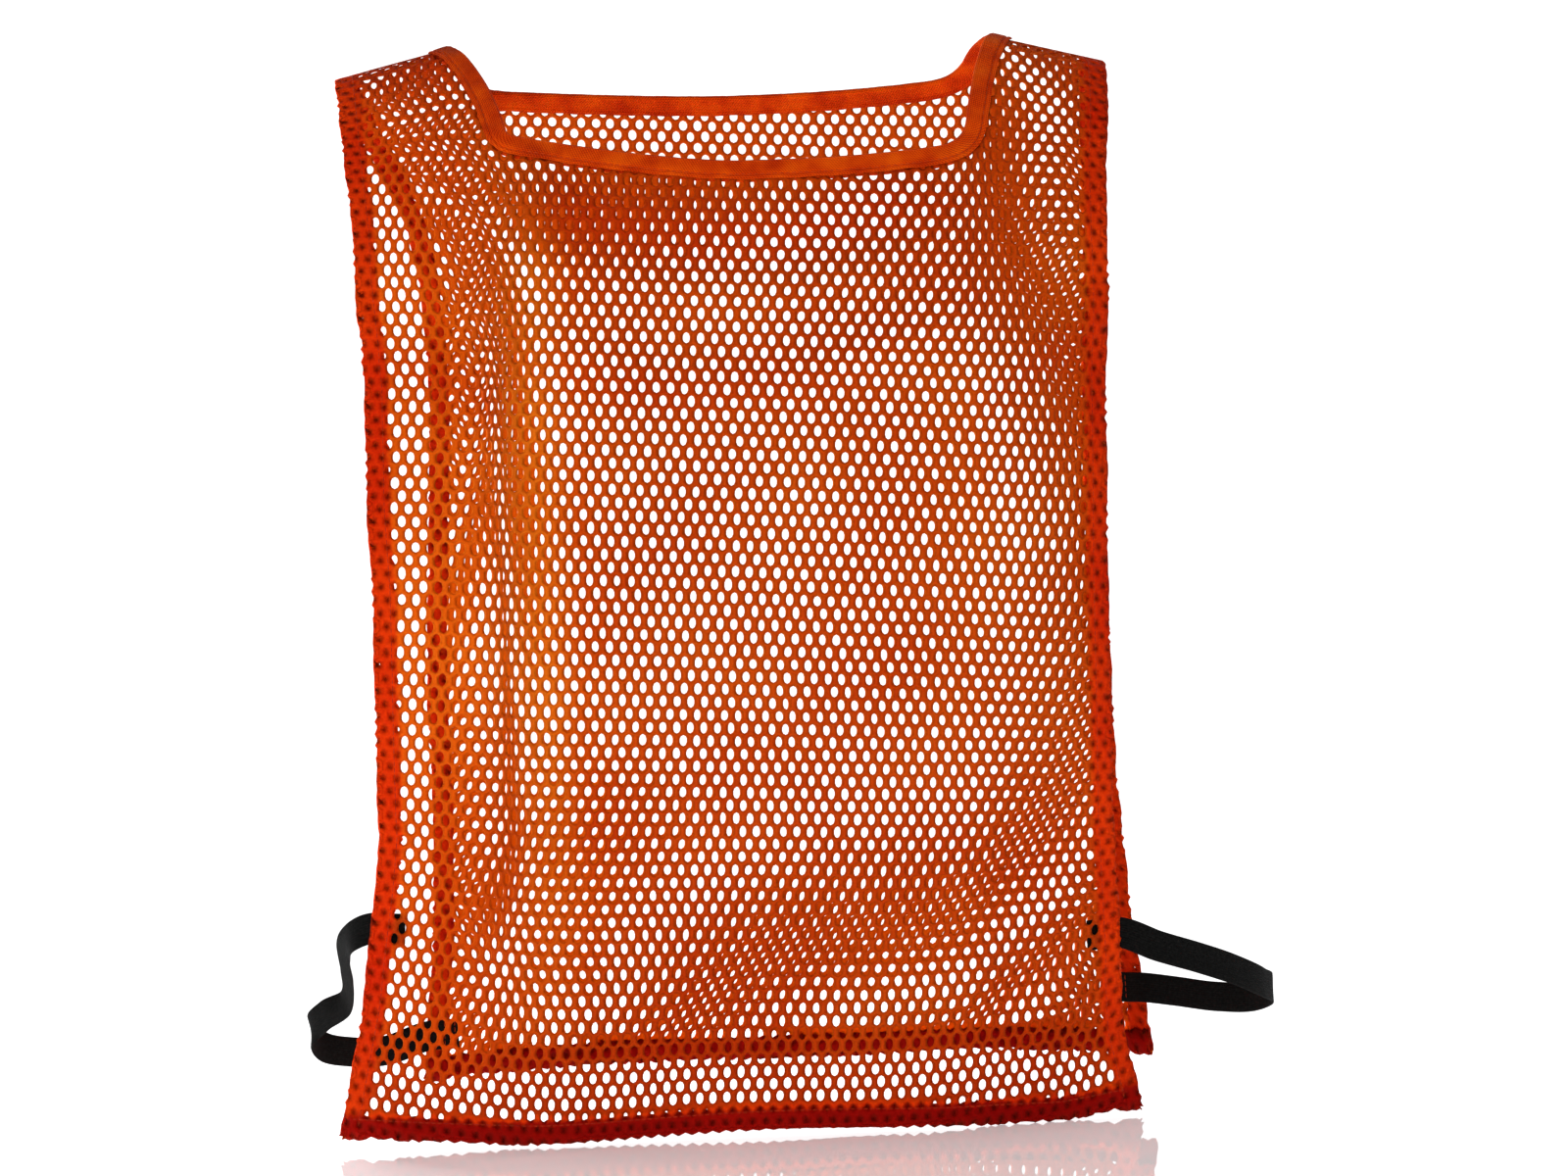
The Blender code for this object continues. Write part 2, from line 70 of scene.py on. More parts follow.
# --- Flat cloth, as in the CAD model ---
PANEL_LENGTH = 0.570
HEM_WIDTH = 0.0105
BOTTOM_HEM = 0.0115
EDGE_AT = (0.0, 0.06, 0.13, 0.20, 0.42, 0.50, PANEL_LENGTH)
EDGE_HALF = (0.1925, 0.190, 0.187, 0.1865, 0.1865, 0.190, 0.198)
NECK_TOP_HALF = 0.136
FRONT_NECK = {"left": 0.1045, "right": 0.1145, "left_down": 0.070, "right_down": 0.0805,
              "middle": 0.088}
BACK_NECK = {"left": 0.118, "right": 0.118, "left_down": 0.036, "right_down": 0.036,
             "middle": 0.044}
# How sharply the neck's lower edge turns up towards each corner.
NECK_BEND = {"left": 1.45, "right": 2.4}
CORNER_RADIUS = {"left": 0.0025, "right": 0.014}
# The -X side of the vest is called left, and the +X side right.
SIGN = {"left": -1.0, "right": 1.0}

# --- Drape, as in the CAD model: slopes from vertical in degrees down the middle line ---
FRONT_SLOPES = ((0.0, 84), (0.02, 44), (0.06, 31), (0.11, 22), (0.17, 14), (0.23, 7),
                (0.29, 0), (0.38, -8), (PANEL_LENGTH, -9))
BACK_SLOPES = ((0.0, 84), (0.02, 52), (0.06, 40), (0.11, 30), (0.17, 15), (0.23, 5),
               (0.29, -2), (0.38, -8), (PANEL_LENGTH, -8))
PROFILE_STEP = 0.0005
# The middle of a panel lies flat on the chest, and its sides turn back towards the arms.
PLATE_HALF = 0.100
SIDE_RUN = 0.0865
EASE = 0.25
SHOULDER_DROP = 0.014
SHOULDER_FADE = 0.12
DOWN_AT = (0.0, 0.05, 0.12, 0.20, 0.30, 0.42, PANEL_LENGTH)
FRONT_SIDE_DEPTH = (0.0, 0.008, 0.024, 0.036, 0.034, 0.028, 0.018)
BACK_SIDE_DEPTH = (0.0, 0.006, 0.022, 0.036, 0.037, 0.036, 0.038)
STRETCH = (1.0, 1.02, 1.034, 1.03, 1.0, 0.977, 0.987)
FRONT_SHIFT = (0.0, 0.002, 0.004, 0.005, 0.005, 0.005, 0.0)
# Sideways shifts of the front panel's edges by place down the cloth, which the CAD model leaves out.
# They and the back panel's tuck grow from the flat middle outwards over SIDE_BLEND.
SIDE_BLEND = 0.085
LEFT_EDGE_SHIFT = ((0.0, 0.0), (0.05, 0.0022), (0.12, 0.0018), (0.15, -0.001), (0.19, -0.0072),
                   (0.26, -0.0080), (0.34, -0.0052), (0.41, -0.0040), (0.45, -0.0022),
                   (0.51, -0.0020), (0.57, -0.0045))
RIGHT_EDGE_SHIFT = ((0.0, 0.0), (0.05, -0.0022), (0.09, -0.0035), (0.12, -0.0022), (0.16, 0.0),
                    (0.49, 0.0), (0.53, -0.0028), (0.57, 0.002))
# The back panel hangs askew: its hem swings towards +X and turns, and its lowest part rides up.
BACK_SWAY = 0.0225
BACK_SWAY_BEND = 0.6
BACK_TURN = math.radians(1.8)
SWAY_FADE = 0.16
BACK_LIFT = 0.0105
BACK_LIFT_SLOPE = -0.0158
BACK_LIFT_FROM = 0.36
# Beside the armhole its -X side is drawn inwards and turned forwards: how far each way, how far
# down the cloth that is deepest, and over what length it fades below.
BACK_TUCK = (0.019, 0.014)
TUCK_DEEPEST = 0.13
TUCK_FADE = 0.25
# A draped panel is worked out on a grid of flat places, which runs on past the edges.
GRID = 0.0025
GRID_HALF = 0.2125
GRID_BELOW = 0.010

# --- Folds and waves of the cloth, which the CAD model leaves out ---
# Long folds: place across, half-width and height, then where and over what length each rises, and
# where and over what length it fades.
FRONT_FOLDS = ((-0.092, 0.015, 0.0046, 0.07, 0.03, 0.26, 0.22),
               (0.109, 0.020, 0.0022, 0.07, 0.03, 0.24, 0.20))
BACK_FOLDS = ((-0.105, 0.020, 0.0030, 0.05, 0.05, math.inf, 1.0),
              (0.100, 0.022, 0.0030, 0.05, 0.05, math.inf, 1.0))
# Swags that hang between the neck corners: place down at the corners, sag and height.
FRONT_SWAGS = ((0.100, 0.020, 0.0030), (0.130, 0.028, 0.0038), (0.168, 0.036, 0.0030))
BACK_SWAGS = ((0.075, 0.022, 0.0018), (0.112, 0.030, 0.0016))
FRONT_SWAG_HALF = 0.017
BACK_SWAG_HALF = 0.019
# Waves along the hem, which run up into long soft folds: height, place across and half-width.
FRONT_HEM_WAVES = ((0.0045, -0.098, 0.042), (0.0042, 0.088, 0.046), (-0.0030, -0.010, 0.070),
                   (0.0030, 0.158, 0.030))
BACK_HEM_WAVES = ((0.0050, -0.060, 0.046), (-0.0030, 0.010, 0.050), (0.0048, 0.082, 0.044),
                  (0.0035, -0.150, 0.030))
# Heights of the drag lines from the armholes, and of small waves all over.
DRAG_LINE = 0.0036
RIPPLE = 0.0009

# --- Knit: staggered oval holes ---
PITCH_ACROSS = 0.00665
PITCH_DOWN = 0.00628
HOLE_HALF = (0.00180, 0.00290)
# Directions of the ten points round a hole, in degrees.
HOLE_ANGLES = (90, 50, 17, -17, -50, -90, -130, -163, 163, 130)
# The rows lean across the panel. The back panel's knit is also shifted and pulled wider, so that from
# in front few of its strands show through the front panel's holes.
FRONT_LEAN = math.tan(math.radians(3.3))
BACK_LEAN = math.tan(math.radians(5.70))
BACK_SHIFT = (0.0143, -0.0145)
BACK_WIDER = 1.0875
LEAN_AT = (0.0, 0.10, 0.30, 0.45, 0.57)
FRONT_LEAN_SHARE = (0.6, 1.0, 1.0, 0.6, 0.3)
BACK_LEAN_SHARE = (0.6, 1.0, 1.0, 0.65, 0.81)
# The knit is laid out this far to each side, and over these rows, and then cut to the panel.
KNIT_HALF = 0.27
KNIT_ROWS = (-6, 106)
# Sewing closes up the holes of the hems by this share.
HEM_SQUEEZE = 0.82
# STRAND is half of the cloth's thickness, and the others are how uneven the knit is.
STRAND = 0.00036
JITTER = 0.00010
HOLE_SPREAD = 0.05
HOLE_TWIST = 0.03
# A hem is turned twice, so it has three layers of cloth, which lie LAYER apart. Its raw edge stops
# RAW_EDGE_IN short of the fold, and holes stay EDGE_STRIP away from a cut edge.
LAYER = 0.00082
RAW_EDGE_IN = 0.0014
EDGE_STRIP = 0.0009
# The cut edge of the neck stops this far inside the tape's fold.
NECK_INSET = 0.0022

# --- Colours ---
# Tone of the knit by distance from a hole in millimetres: ring thread, its dark seam, ground.
RING_TONES = ((0.0, (0.52,) * 3), (0.28, (0.68,) * 3), (0.48, (0.50,) * 3), (0.62, (0.16,) * 3),
              (0.78, (0.44,) * 3), (1.0, (0.38,) * 3))
# Colours by tone, from dark to light: the cloth plain; with painted shade in folds; with a painted golden
# glow, as if lit from behind; on the side hems, redder for their three layers and for painted shade; and
# on the bottom hem, darker still with painted shade.
PLAIN_TONES = ((0.22, (0.42, 0.036, 0.003)), (0.5, (0.53, 0.090, 0.006)), (0.74, (0.60, 0.175, 0.012)))
FOLD_SHADE_TONES = ((0.25, (0.36, 0.008, 0.002)), (0.62, (0.48, 0.024, 0.003)))
PAINTED_GLOW_TONES = ((0.25, (0.52, 0.120, 0.006)), (0.62, (0.68, 0.210, 0.014)))
HEM_LAYER_AND_SHADE_TONES = ((0.25, (0.68, 0.026, 0.002)), (0.62, (0.95, 0.100, 0.004)))
BOTTOM_HEM_SHADE_TONES = ((0.25, (0.34, 0.003, 0.002)), (0.62, (0.47, 0.009, 0.003)))
TAPE_TONES = ((0.25, (0.46, 0.028, 0.002)), (0.50, (0.73, 0.072, 0.003)), (0.75, (0.88, 0.140, 0.005)))
ELASTIC_TONES = ((0.25, (0.003, 0.003, 0.003)), (0.55, (0.007, 0.007, 0.0065)),
                 (0.85, (0.020, 0.020, 0.019)))
THREAD_TONES = ((0.3, (0.44, 0.035, 0.005)), (0.7, (0.62, 0.085, 0.012)))
# Most that the painted fold shade covers the plain tone, and the light that comes through the cloth.
MOST_FOLD_SHADE = 0.85
THROUGH = (0.95, 0.40, 0.030, 1.0)
THROUGH_SHARE = 0.34
# Weave pitches: loops of the knit across and down, and threads of the elastic across and along.
LOOP_ACROSS, LOOP_DOWN = 0.0011, 0.0008
WARP, WEFT = 0.00058, 0.00075

# --- Straps, as in the CAD model ---
STRAP_WIDTH = 0.015
STRAP_THICKNESS = 0.0012
FRONT_STRAP_AT = {"left": 0.466, "right": 0.480}
BACK_STRAP_AT = {"left": 0.5475, "right": 0.537}
STRAP_BOND = 0.016
STRAP_LIFT = 0.0010
STRAP_CLEARANCE = 0.0001
# Free points of each strap, from the front panel's edge to the back one's, each with the
# direction of the strap's width there.
LEFT_STRAP_FREE = (
    ((-0.190, -0.045, -0.440), (0.1, -0.2, -1.0)),
    ((-0.1965, -0.031, -0.449), (0.5, -0.6, -0.7)),
    ((-0.196, -0.021, -0.462), (0.42, -0.9, -0.1)),
    ((-0.198, -0.009, -0.476), (0.35, -0.6, -0.6)),
    ((-0.210, 0.002, -0.4835), (0.15, -0.1, -1.0)),
    ((-0.2175, 0.0115, -0.4915), (0.1, 0.0, -1.0)),
    ((-0.2125, 0.0215, -0.5010), (0.1, 0.0, -1.0)),
    ((-0.200, 0.0285, -0.5045), (0.0, 0.0, -1.0)),
    ((-0.184, 0.033, -0.505), (0.0, 0.0, -1.0)),
)
RIGHT_STRAP_FREE = (
    ((0.206, -0.044, -0.455), (0.25, 0.1, -1.0)),
    ((0.228, -0.034, -0.4625), (0.3, 0.1, -1.0)),
    ((0.247, -0.022, -0.470), (0.3, 0.1, -1.0)),
    ((0.262, -0.006, -0.478), (0.15, 0.1, -1.0)),
    ((0.2665, 0.006, -0.4815), (0.0, 0.0, -1.0)),
    ((0.258, 0.018, -0.4865), (0.0, 0.0, -1.0)),
    ((0.240, 0.028, -0.4870), (0.0, 0.0, -1.0)),
    ((0.220, 0.036, -0.4845), (0.0, 0.0, -1.0)),
)
STRAP_STATIONS = 150
STRAP_RIBS = 13
# Half of the depth between the ribs of a strap or a tape.
RIB_HEIGHT = 0.00009

# --- Neck tape ---
TAPE = 0.0008
TAPE_WIDTH = 0.0095
# Height over the panel of the middle and of the outside of the tape.
TAPE_REACH = 0.0014
TAPE_OUTER = TAPE_REACH + TAPE / 2
TAPE_STEP = 0.0018
# How round its fold is, how far apart its ribs are, and where its stitches pull in a groove.
TAPE_FOLD = 0.9
TAPE_RIB = 0.00105
TAPE_GROOVE = 0.0069

# --- Sewing ---
STITCH = 0.0024
STITCH_GAP = 0.0007
THREAD_RADIUS = 0.00018
THREAD_SIDES = 6
# Height and half-thickness along one stitch, as shares of the thread's radius.
STITCH_ARCH = (-0.8, 0.35, 0.7, 0.35, -0.8)
STITCH_THICK = (0.45, 0.95, 1.0, 0.95, 0.45)
# Height of a thread over the middle of the cloth, and how far its row lies from a hem's edge. The
# neck's row lies in the tape's groove, which this much more brings to its place from the neck line.
SEWN = STRAND + THREAD_RADIUS * 0.6
HEM_STITCH_INSET = 0.0022
TAPE_STITCH_INSET = 0.0016
BOTTOM_STITCH_HALF = 0.192
SEW_STEP = 0.002
BARTACK_ROWS = 3
BARTACK_HALF = 0.0064
BARTACK_INSET = 0.0020
BARTACK_PITCH = 0.0030

# --- Stage, lights and camera ---
# The table lies just under the hem, whose lowest point is at LOWEST_X, and tilts with it.
FLOOR_BELOW = 0.0005
FLOOR_TILT = math.radians(1.2)
LOWEST_X = -0.10
FLOOR_GLOW = 0.25
FLOOR_RADIUS = 1.0
FLOOR_FADE_FROM = 0.30
FLOOR_SIDES = 96
# Brightness of the room in front of the vest and of the backdrop behind it.
ROOM, BACKDROP = 0.15, 0.85
# Name, place, aim, size and power in watts of each softbox.
SOFTBOXES = (
    ("left_softbox", (-1.9, -1.7, -0.30), (0.0, 0.0, -0.30), 1.2, 19.0),
    ("right_softbox", (1.9, -1.8, -0.30), (0.0, 0.0, -0.30), 1.2, 16.0),
    ("low_front_softbox", (-0.2, -1.8, -0.50), (0.0, 0.0, -0.28), 0.7, 13.0),
    ("rear_left_softbox", (-0.75, 1.3, -0.15), (-0.17, 0.0, -0.27), 0.6, 50.0),
)
CAMERA_PLACE = (0.026, -2.295, -0.2743)
CAMERA_ROLL = math.radians(1.4)
SENSOR, LENS = 36.0, 105.0


# ------------------ drape
def smooth(t):
    """0 below 0, 1 above 1, and an S curve between."""
    t = np.clip(t, 0.0, 1.0)
    return t * t * (3.0 - 2.0 * t)


def ease(t):
    """0 below 0, rising gently at first and then straight to 1."""
    t = np.maximum(t, 0.0)
    return t * t * (1.0 + EASE) / (t + EASE)


def bump(x, middle, half):
    """A smooth hump of height 1 at the middle, 0 at half to each side."""
    return smooth(1.0 - np.abs(x - middle) / half)


def from_table(at, table):
    """Values between the rows of a table of (place, value) pairs."""
    return np.interp(at, *zip(*table))


def unit(vectors):
    return vectors / np.linalg.norm(vectors, axis=-1, keepdims=True)


def run_of(line):
    """Distance along a line of points to each of them."""
    return np.concatenate([[0.0], np.cumsum(np.linalg.norm(np.diff(line, axis=0), axis=1))])


def places_on(line, run, spots):
    """Rows of a line between its points, at spots along its run."""
    return np.stack([np.interp(spots, run, column) for column in line.T], axis=1)


def profile(slopes):
    """Distances down the cloth with the forward reach and the drop at each."""
    at = np.arange(0.0, PANEL_LENGTH + GRID_BELOW + PROFILE_STEP, PROFILE_STEP)
    turn = np.radians(from_table(at, slopes))
    reach = np.concatenate([[0.0], np.cumsum(np.sin(turn[:-1]) * PROFILE_STEP)])
    drop = np.concatenate([[0.0], np.cumsum(np.cos(turn[:-1]) * PROFILE_STEP)])
    return at, reach, drop


def edge_half(v):
    """Half of a panel's width at v."""
    return np.interp(v, EDGE_AT, EDGE_HALF)


def shoulder_drop(u, v):
    """The ridge falls from the neck to the arm, and this fades down the cloth."""
    run = (np.abs(u) - NECK_TOP_HALF) / (EDGE_HALF[0] - NECK_TOP_HALF)
    return SHOULDER_DROP * np.clip(run, 0.0, 1.2) * (1.0 - smooth(v / SHOULDER_FADE))


def sideways(us, vs, turned):
    """X of each grid point: the cloth keeps its length where its sides turn back."""
    slope = np.gradient(turned, us, axis=1)
    run = np.sqrt(np.clip(1.0 - slope * slope, 0.15, 1.0))
    stretch = np.interp(vs, DOWN_AT, STRETCH)[:, None]
    run = np.where(np.abs(us)[None, :] < PLATE_HALF, stretch, run)
    steps = (run[:, 1:] + run[:, :-1]) / 2.0 * np.diff(us)[None, :]
    x = np.concatenate([np.zeros((len(vs), 1)), np.cumsum(steps, axis=1)], axis=1)
    return x - x[:, [len(us) // 2]]


def swell(u, v, folds, swags, swag_half):
    """How far a panel's long folds, and the swags between its neck corners, lift it outwards."""
    lift = 0.0
    for middle, half, height, start, rise, end, fade in folds:
        shape = height * bump(u, middle, half) * smooth((v - start) / rise)
        lift += shape * (1 - smooth((v - end) / fade))
    for start, sag, height in swags:
        line = start + sag * (1.0 - (u / 0.11) ** 2)
        lift += height * bump(v, line, swag_half) * smooth((0.12 - np.abs(u)) / 0.05)
    return lift


def hem_waves(u, waves):
    return sum(height * bump(u, middle, half) for height, middle, half in waves)


def all_over(lift, wave, v):
    """Adds small waves below the neck to a lift, which starts from nothing at the ridge."""
    return (lift + RIPPLE * wave * smooth((v - 0.09) / 0.08)) * smooth(v / 0.03)


def swell_front(u, v):
    lift = swell(u, v, FRONT_FOLDS, FRONT_SWAGS, FRONT_SWAG_HALF)
    for sign in SIGN.values():
        line = 0.205 - 0.55 * (sign * u - 0.12)
        lift += DRAG_LINE * bump(v, line, 0.018) * smooth((sign * u - 0.095) / 0.03)
    lift += smooth((v - 0.36) / 0.21) * hem_waves(u, FRONT_HEM_WAVES)
    wave = np.sin(38 * u + 9 * v + 0.6) * np.sin(17 * v + 1.1) + 0.6 * np.sin(71 * u - 14 * v + 2.0)
    return all_over(lift, wave, v)


def swell_back(u, v):
    lift = swell(u, v, BACK_FOLDS, BACK_SWAGS, BACK_SWAG_HALF)
    lift += smooth((v - 0.30) / 0.26) * hem_waves(u, BACK_HEM_WAVES)
    wave = np.sin(33 * u - 7 * v + 1.9) * np.sin(15 * v + 0.4) + 0.6 * np.sin(64 * u + 11 * v)
    return all_over(lift, wave, v)


def drape_front(us, vs):
    """Points of the front panel's cloth over a grid of flat places."""
    u, v = np.meshgrid(us, vs)
    at, reach, drop = profile(FRONT_SLOPES)
    depth = np.interp(v, DOWN_AT, FRONT_SIDE_DEPTH)
    t = (np.abs(u) - PLATE_HALF) / SIDE_RUN
    even = ease(t)
    # On the -X side the cloth drops off steeply beside the chest, and then faces front again.
    steep = 0.62 * smooth(t / 0.46) + 0.38 * np.maximum(t, 0.0)
    share = smooth((v - 0.10) / 0.08) * (1.0 - 0.9 * smooth((v - 0.42) / 0.14)) * (u < 0)
    turned = depth * (even * (1.0 - share) + steep * share)
    x = sideways(us, vs, turned) + np.interp(v, DOWN_AT, FRONT_SHIFT)
    for sign, edge in ((-1.0, LEFT_EDGE_SHIFT), (1.0, RIGHT_EDGE_SHIFT)):
        x += from_table(v, edge) * smooth((sign * u - PLATE_HALF) / SIDE_BLEND)
    y = turned - np.interp(v, at, reach) - swell_front(u, v)
    # The hem hangs lower to the left of the middle, and rides up at its right corner.
    sag = 0.0042 * bump(u, -0.105, 0.135) * smooth((v - 0.28) / 0.28)
    sag -= 0.0040 * smooth((u - 0.150) / 0.045) * smooth((v - 0.40) / 0.17)
    return np.stack([x, y, -np.interp(v, at, drop) - shoulder_drop(u, v) - sag], axis=2)


def tuck(u, v):
    """How much of its tuck the back panel has at (u, v), from 0 to 1."""
    down = smooth(v / TUCK_DEEPEST) * (1.0 - smooth((v - TUCK_DEEPEST) / TUCK_FADE))
    return down * smooth((-u - PLATE_HALF) / SIDE_BLEND)


def drape_back(us, vs):
    """Points of the back panel's cloth over a grid of flat places."""
    u, v = np.meshgrid(us, vs)
    at, reach, drop = profile(BACK_SLOPES)
    turned = np.interp(v, DOWN_AT, BACK_SIDE_DEPTH) * ease((np.abs(u) - PLATE_HALF) / SIDE_RUN)
    x = sideways(us, vs, turned)
    swung = smooth(v / SWAY_FADE)
    z = -np.interp(v, at, drop) - shoulder_drop(u, v) + x * math.sin(BACK_TURN) * swung
    x = x + BACK_SWAY * swung * (np.maximum(v, 0.0) / PANEL_LENGTH) ** BACK_SWAY_BEND
    lifted = smooth((v - BACK_LIFT_FROM) / (PANEL_LENGTH - BACK_LIFT_FROM))
    z += (BACK_LIFT + BACK_LIFT_SLOPE * u) * lifted
    tucked = tuck(u, v)
    x = x + BACK_TUCK[0] * tucked
    y = np.interp(v, at, reach) - turned + swell_back(u, v) - BACK_TUCK[1] * tucked
    return np.stack([x, y, z], axis=2)


class Panel:
    """A panel's draped shape over its flat cloth, with its neck and its knit's lie."""

    def __init__(self, name, drape, outward, neck, lean, lean_share, shift=(0.0, 0.0), wider=1.0,
                 longer=np.ones_like):
        self.name, self.outward, self.neck = name, outward, neck
        self.lean, self.lean_share = lean, lean_share
        self.shift, self.wider, self.longer = shift, wider, longer
        self.us = np.arange(-GRID_HALF, GRID_HALF + GRID / 2, GRID)
        self.vs = np.arange(0.0, PANEL_LENGTH + GRID_BELOW, GRID)
        points = drape(self.us, self.vs)
        right = unit(np.gradient(points, axis=1))
        down = unit(np.gradient(points, axis=0))
        normal = unit(np.cross(down, right)) * outward
        self.grid = np.concatenate([points, normal, right, down], axis=2)

    def at(self, u, v):
        """Point, outward normal, and the directions across and down, at flat places."""
        x = np.clip((np.asarray(u) - self.us[0]) / GRID, 0, len(self.us) - 1.001)
        y = np.clip((np.asarray(v) - self.vs[0]) / GRID, 0, len(self.vs) - 1.001)
        i, j = x.astype(int), y.astype(int)
        f, g = (x - i)[..., None], (y - j)[..., None]
        a = self.grid[j, i] * (1 - f) + self.grid[j, i + 1] * f
        b = self.grid[j + 1, i] * (1 - f) + self.grid[j + 1, i + 1] * f
        mixed = a * (1 - g) + b * g
        return [mixed[..., k:k + 3] for k in (0, 3, 6, 9)]

    def over(self, u, v, height):
        """Points at a height over the cloth's outer side, or under it where negative."""
        point, normal, _, _ = self.at(u, v)
        return point + normal * np.asarray(height)[..., None]


# ------------------ outlines
def neck_side(neck, hand, v):
    """Half-width of the neck opening at v, down to its corner."""
    t = np.clip(v / neck[f"{hand}_down"], 0.0, 1.0)
    return NECK_TOP_HALF + (neck[hand] - NECK_TOP_HALF) * t * (1.5 - 0.5 * t)


def neck_half(neck, u, v):
    """Half-width of the neck opening at v, on u's side."""
    return np.where(u < 0, neck_side(neck, "left", v), neck_side(neck, "right", v))


def neck_bottom(neck, u):
    """How far down the cloth the neck opening's lower edge lies at u."""
    middle = (neck["right"] - neck["left"]) / 2.0
    half = (neck["right"] + neck["left"]) / 2.0
    t = np.clip(np.abs(u - middle) / half, 0.0, 1.0)
    left = (neck["left_down"] - neck["middle"]) * t ** NECK_BEND["left"]
    right = (neck["right_down"] - neck["middle"]) * t ** NECK_BEND["right"]
    return neck["middle"] + np.where(u < middle, left, right)


def off_neck(neck, u, v, inset):
    """Flat places, moved out of the neck opening to an inset from its edge."""
    side = neck_half(neck, u, v) + inset
    bottom = neck_bottom(neck, u) + inset
    inside = (np.abs(u) < side) & (v < bottom)
    sideways_first = inside & (side - np.abs(u) < bottom - v)
    down_first = inside & ~sideways_first
    u = np.where(sideways_first, np.sign(u) * side, u)
    v = np.where(down_first, bottom, v)
    return u, v


def neck_line(neck):
    """Flat points round the neck opening, evenly spaced, from the left ridge to the right one."""
    sides = {}
    for hand, sign in SIGN.items():
        radius, corner_down = CORNER_RADIUS[hand], neck[f"{hand}_down"]
        vs = np.linspace(0.0, corner_down - radius, 24)
        line = [(sign * float(neck_side(neck, hand, v)), v) for v in vs]
        corner = np.array((sign * neck[hand], corner_down))
        u_far = sign * (neck[hand] - radius)
        far = np.array((u_far, float(neck_bottom(neck, u_far))))
        start = np.array(line[-1])
        for t in np.linspace(0.0, 1.0, 10)[1:]:
            a, b = start + (corner - start) * t, corner + (far - corner) * t
            line.append(tuple(a + (b - a) * t))
        sides[hand] = line
    us = np.linspace(sides["left"][-1][0], sides["right"][-1][0], 60)[1:-1]
    line = np.array(sides["left"] + [(u, float(neck_bottom(neck, u))) for u in us]
                    + sides["right"][::-1])
    run = run_of(line)
    return places_on(line, run, np.linspace(0.0, run[-1], int(run[-1] / TAPE_STEP)))


def into_cloth(line):
    """Flat directions square to a line round the neck, on the side of the cloth."""
    along = unit(np.gradient(line, axis=0))
    return np.stack([-along[:, 1], along[:, 0]], axis=1)


# ------------------ knit
# A cell is the cloth round one hole: six corners and the middles of its four slanted sides. CELL_X
# is in eighths of the pitch across. CELL_Y counts eight marks a row, and marks 3, 4 and 5 of a row
# lie CELL_DOWN below its start.
CELL_X = np.array((0, 2, 4, 4, 2, 0, -2, -4, -4, -2))
CELL_Y = np.array((5, 4, 3, -3, -4, -5, -4, -3, 3, 4))
UPPER = (PITCH_DOWN ** 2 + (PITCH_ACROSS / 2) ** 2) / (2 * PITCH_DOWN)
CELL_DOWN = (PITCH_DOWN - UPPER, PITCH_DOWN / 2, UPPER)


def back_longer(b):
    """How many times longer the back panel's knit is pulled: most of all above its hem."""
    return 1.055 + 0.04 * smooth((b - 0.15) / 0.15) + 0.10 * bump(b, 0.47, 0.14)


def lie_of_knit(panel, a, b):
    """Where a place of the knit, a across and b down, lies on the flat cloth.

    The knit sits askew, and near the hem its rows bow up towards the sides.
    """
    a, b = a + panel.shift[0], b + panel.shift[1]
    step = 0.005
    at = np.arange(-0.10, 0.80, step)
    lean = panel.lean * np.interp(at, LEAN_AT, panel.lean_share)
    longer = panel.longer(at)
    moved, down = np.cumsum(lean) * step, np.cumsum(longer) * step
    moved -= np.interp(0.2, at, moved)
    down -= np.interp(0.0, at, down)
    u = a * panel.wider - np.interp(b, at, moved)
    rise = 0.73 * np.maximum(np.abs(a) - 0.05, 0.0) ** 2 * smooth((b - 0.33) / 0.2)
    v = np.interp(b, at, down) + a * np.interp(b, at, lean) - rise
    return u, v


def hem_cloth(width, first):
    """Length of cloth that a hem turned twice takes past its fold."""
    return math.pi * (first + LAYER / 2) + 2 * width - RAW_EDGE_IN


def turned_under(past, width, first):
    """A distance past a fold line as its place along the cloth, its height and its turn.

    The cloth turns under once round the radius first, runs back over the hem's width,
    and turns again to end between the other two layers.
    """
    second = LAYER / 2
    angle = np.clip(past / first, 0.0, math.pi)
    run = np.maximum(past - math.pi * first, 0.0)
    again = np.clip((run - width) / second, 0.0, math.pi)
    out = np.maximum(run - width - math.pi * second, 0.0)
    along = np.where(past < 0, past, first * np.sin(angle) - np.minimum(run, width)
                     - second * np.sin(again) + out)
    height = -first * (1.0 - np.cos(angle)) + second * (1.0 - np.cos(again))
    return along, height, angle + again


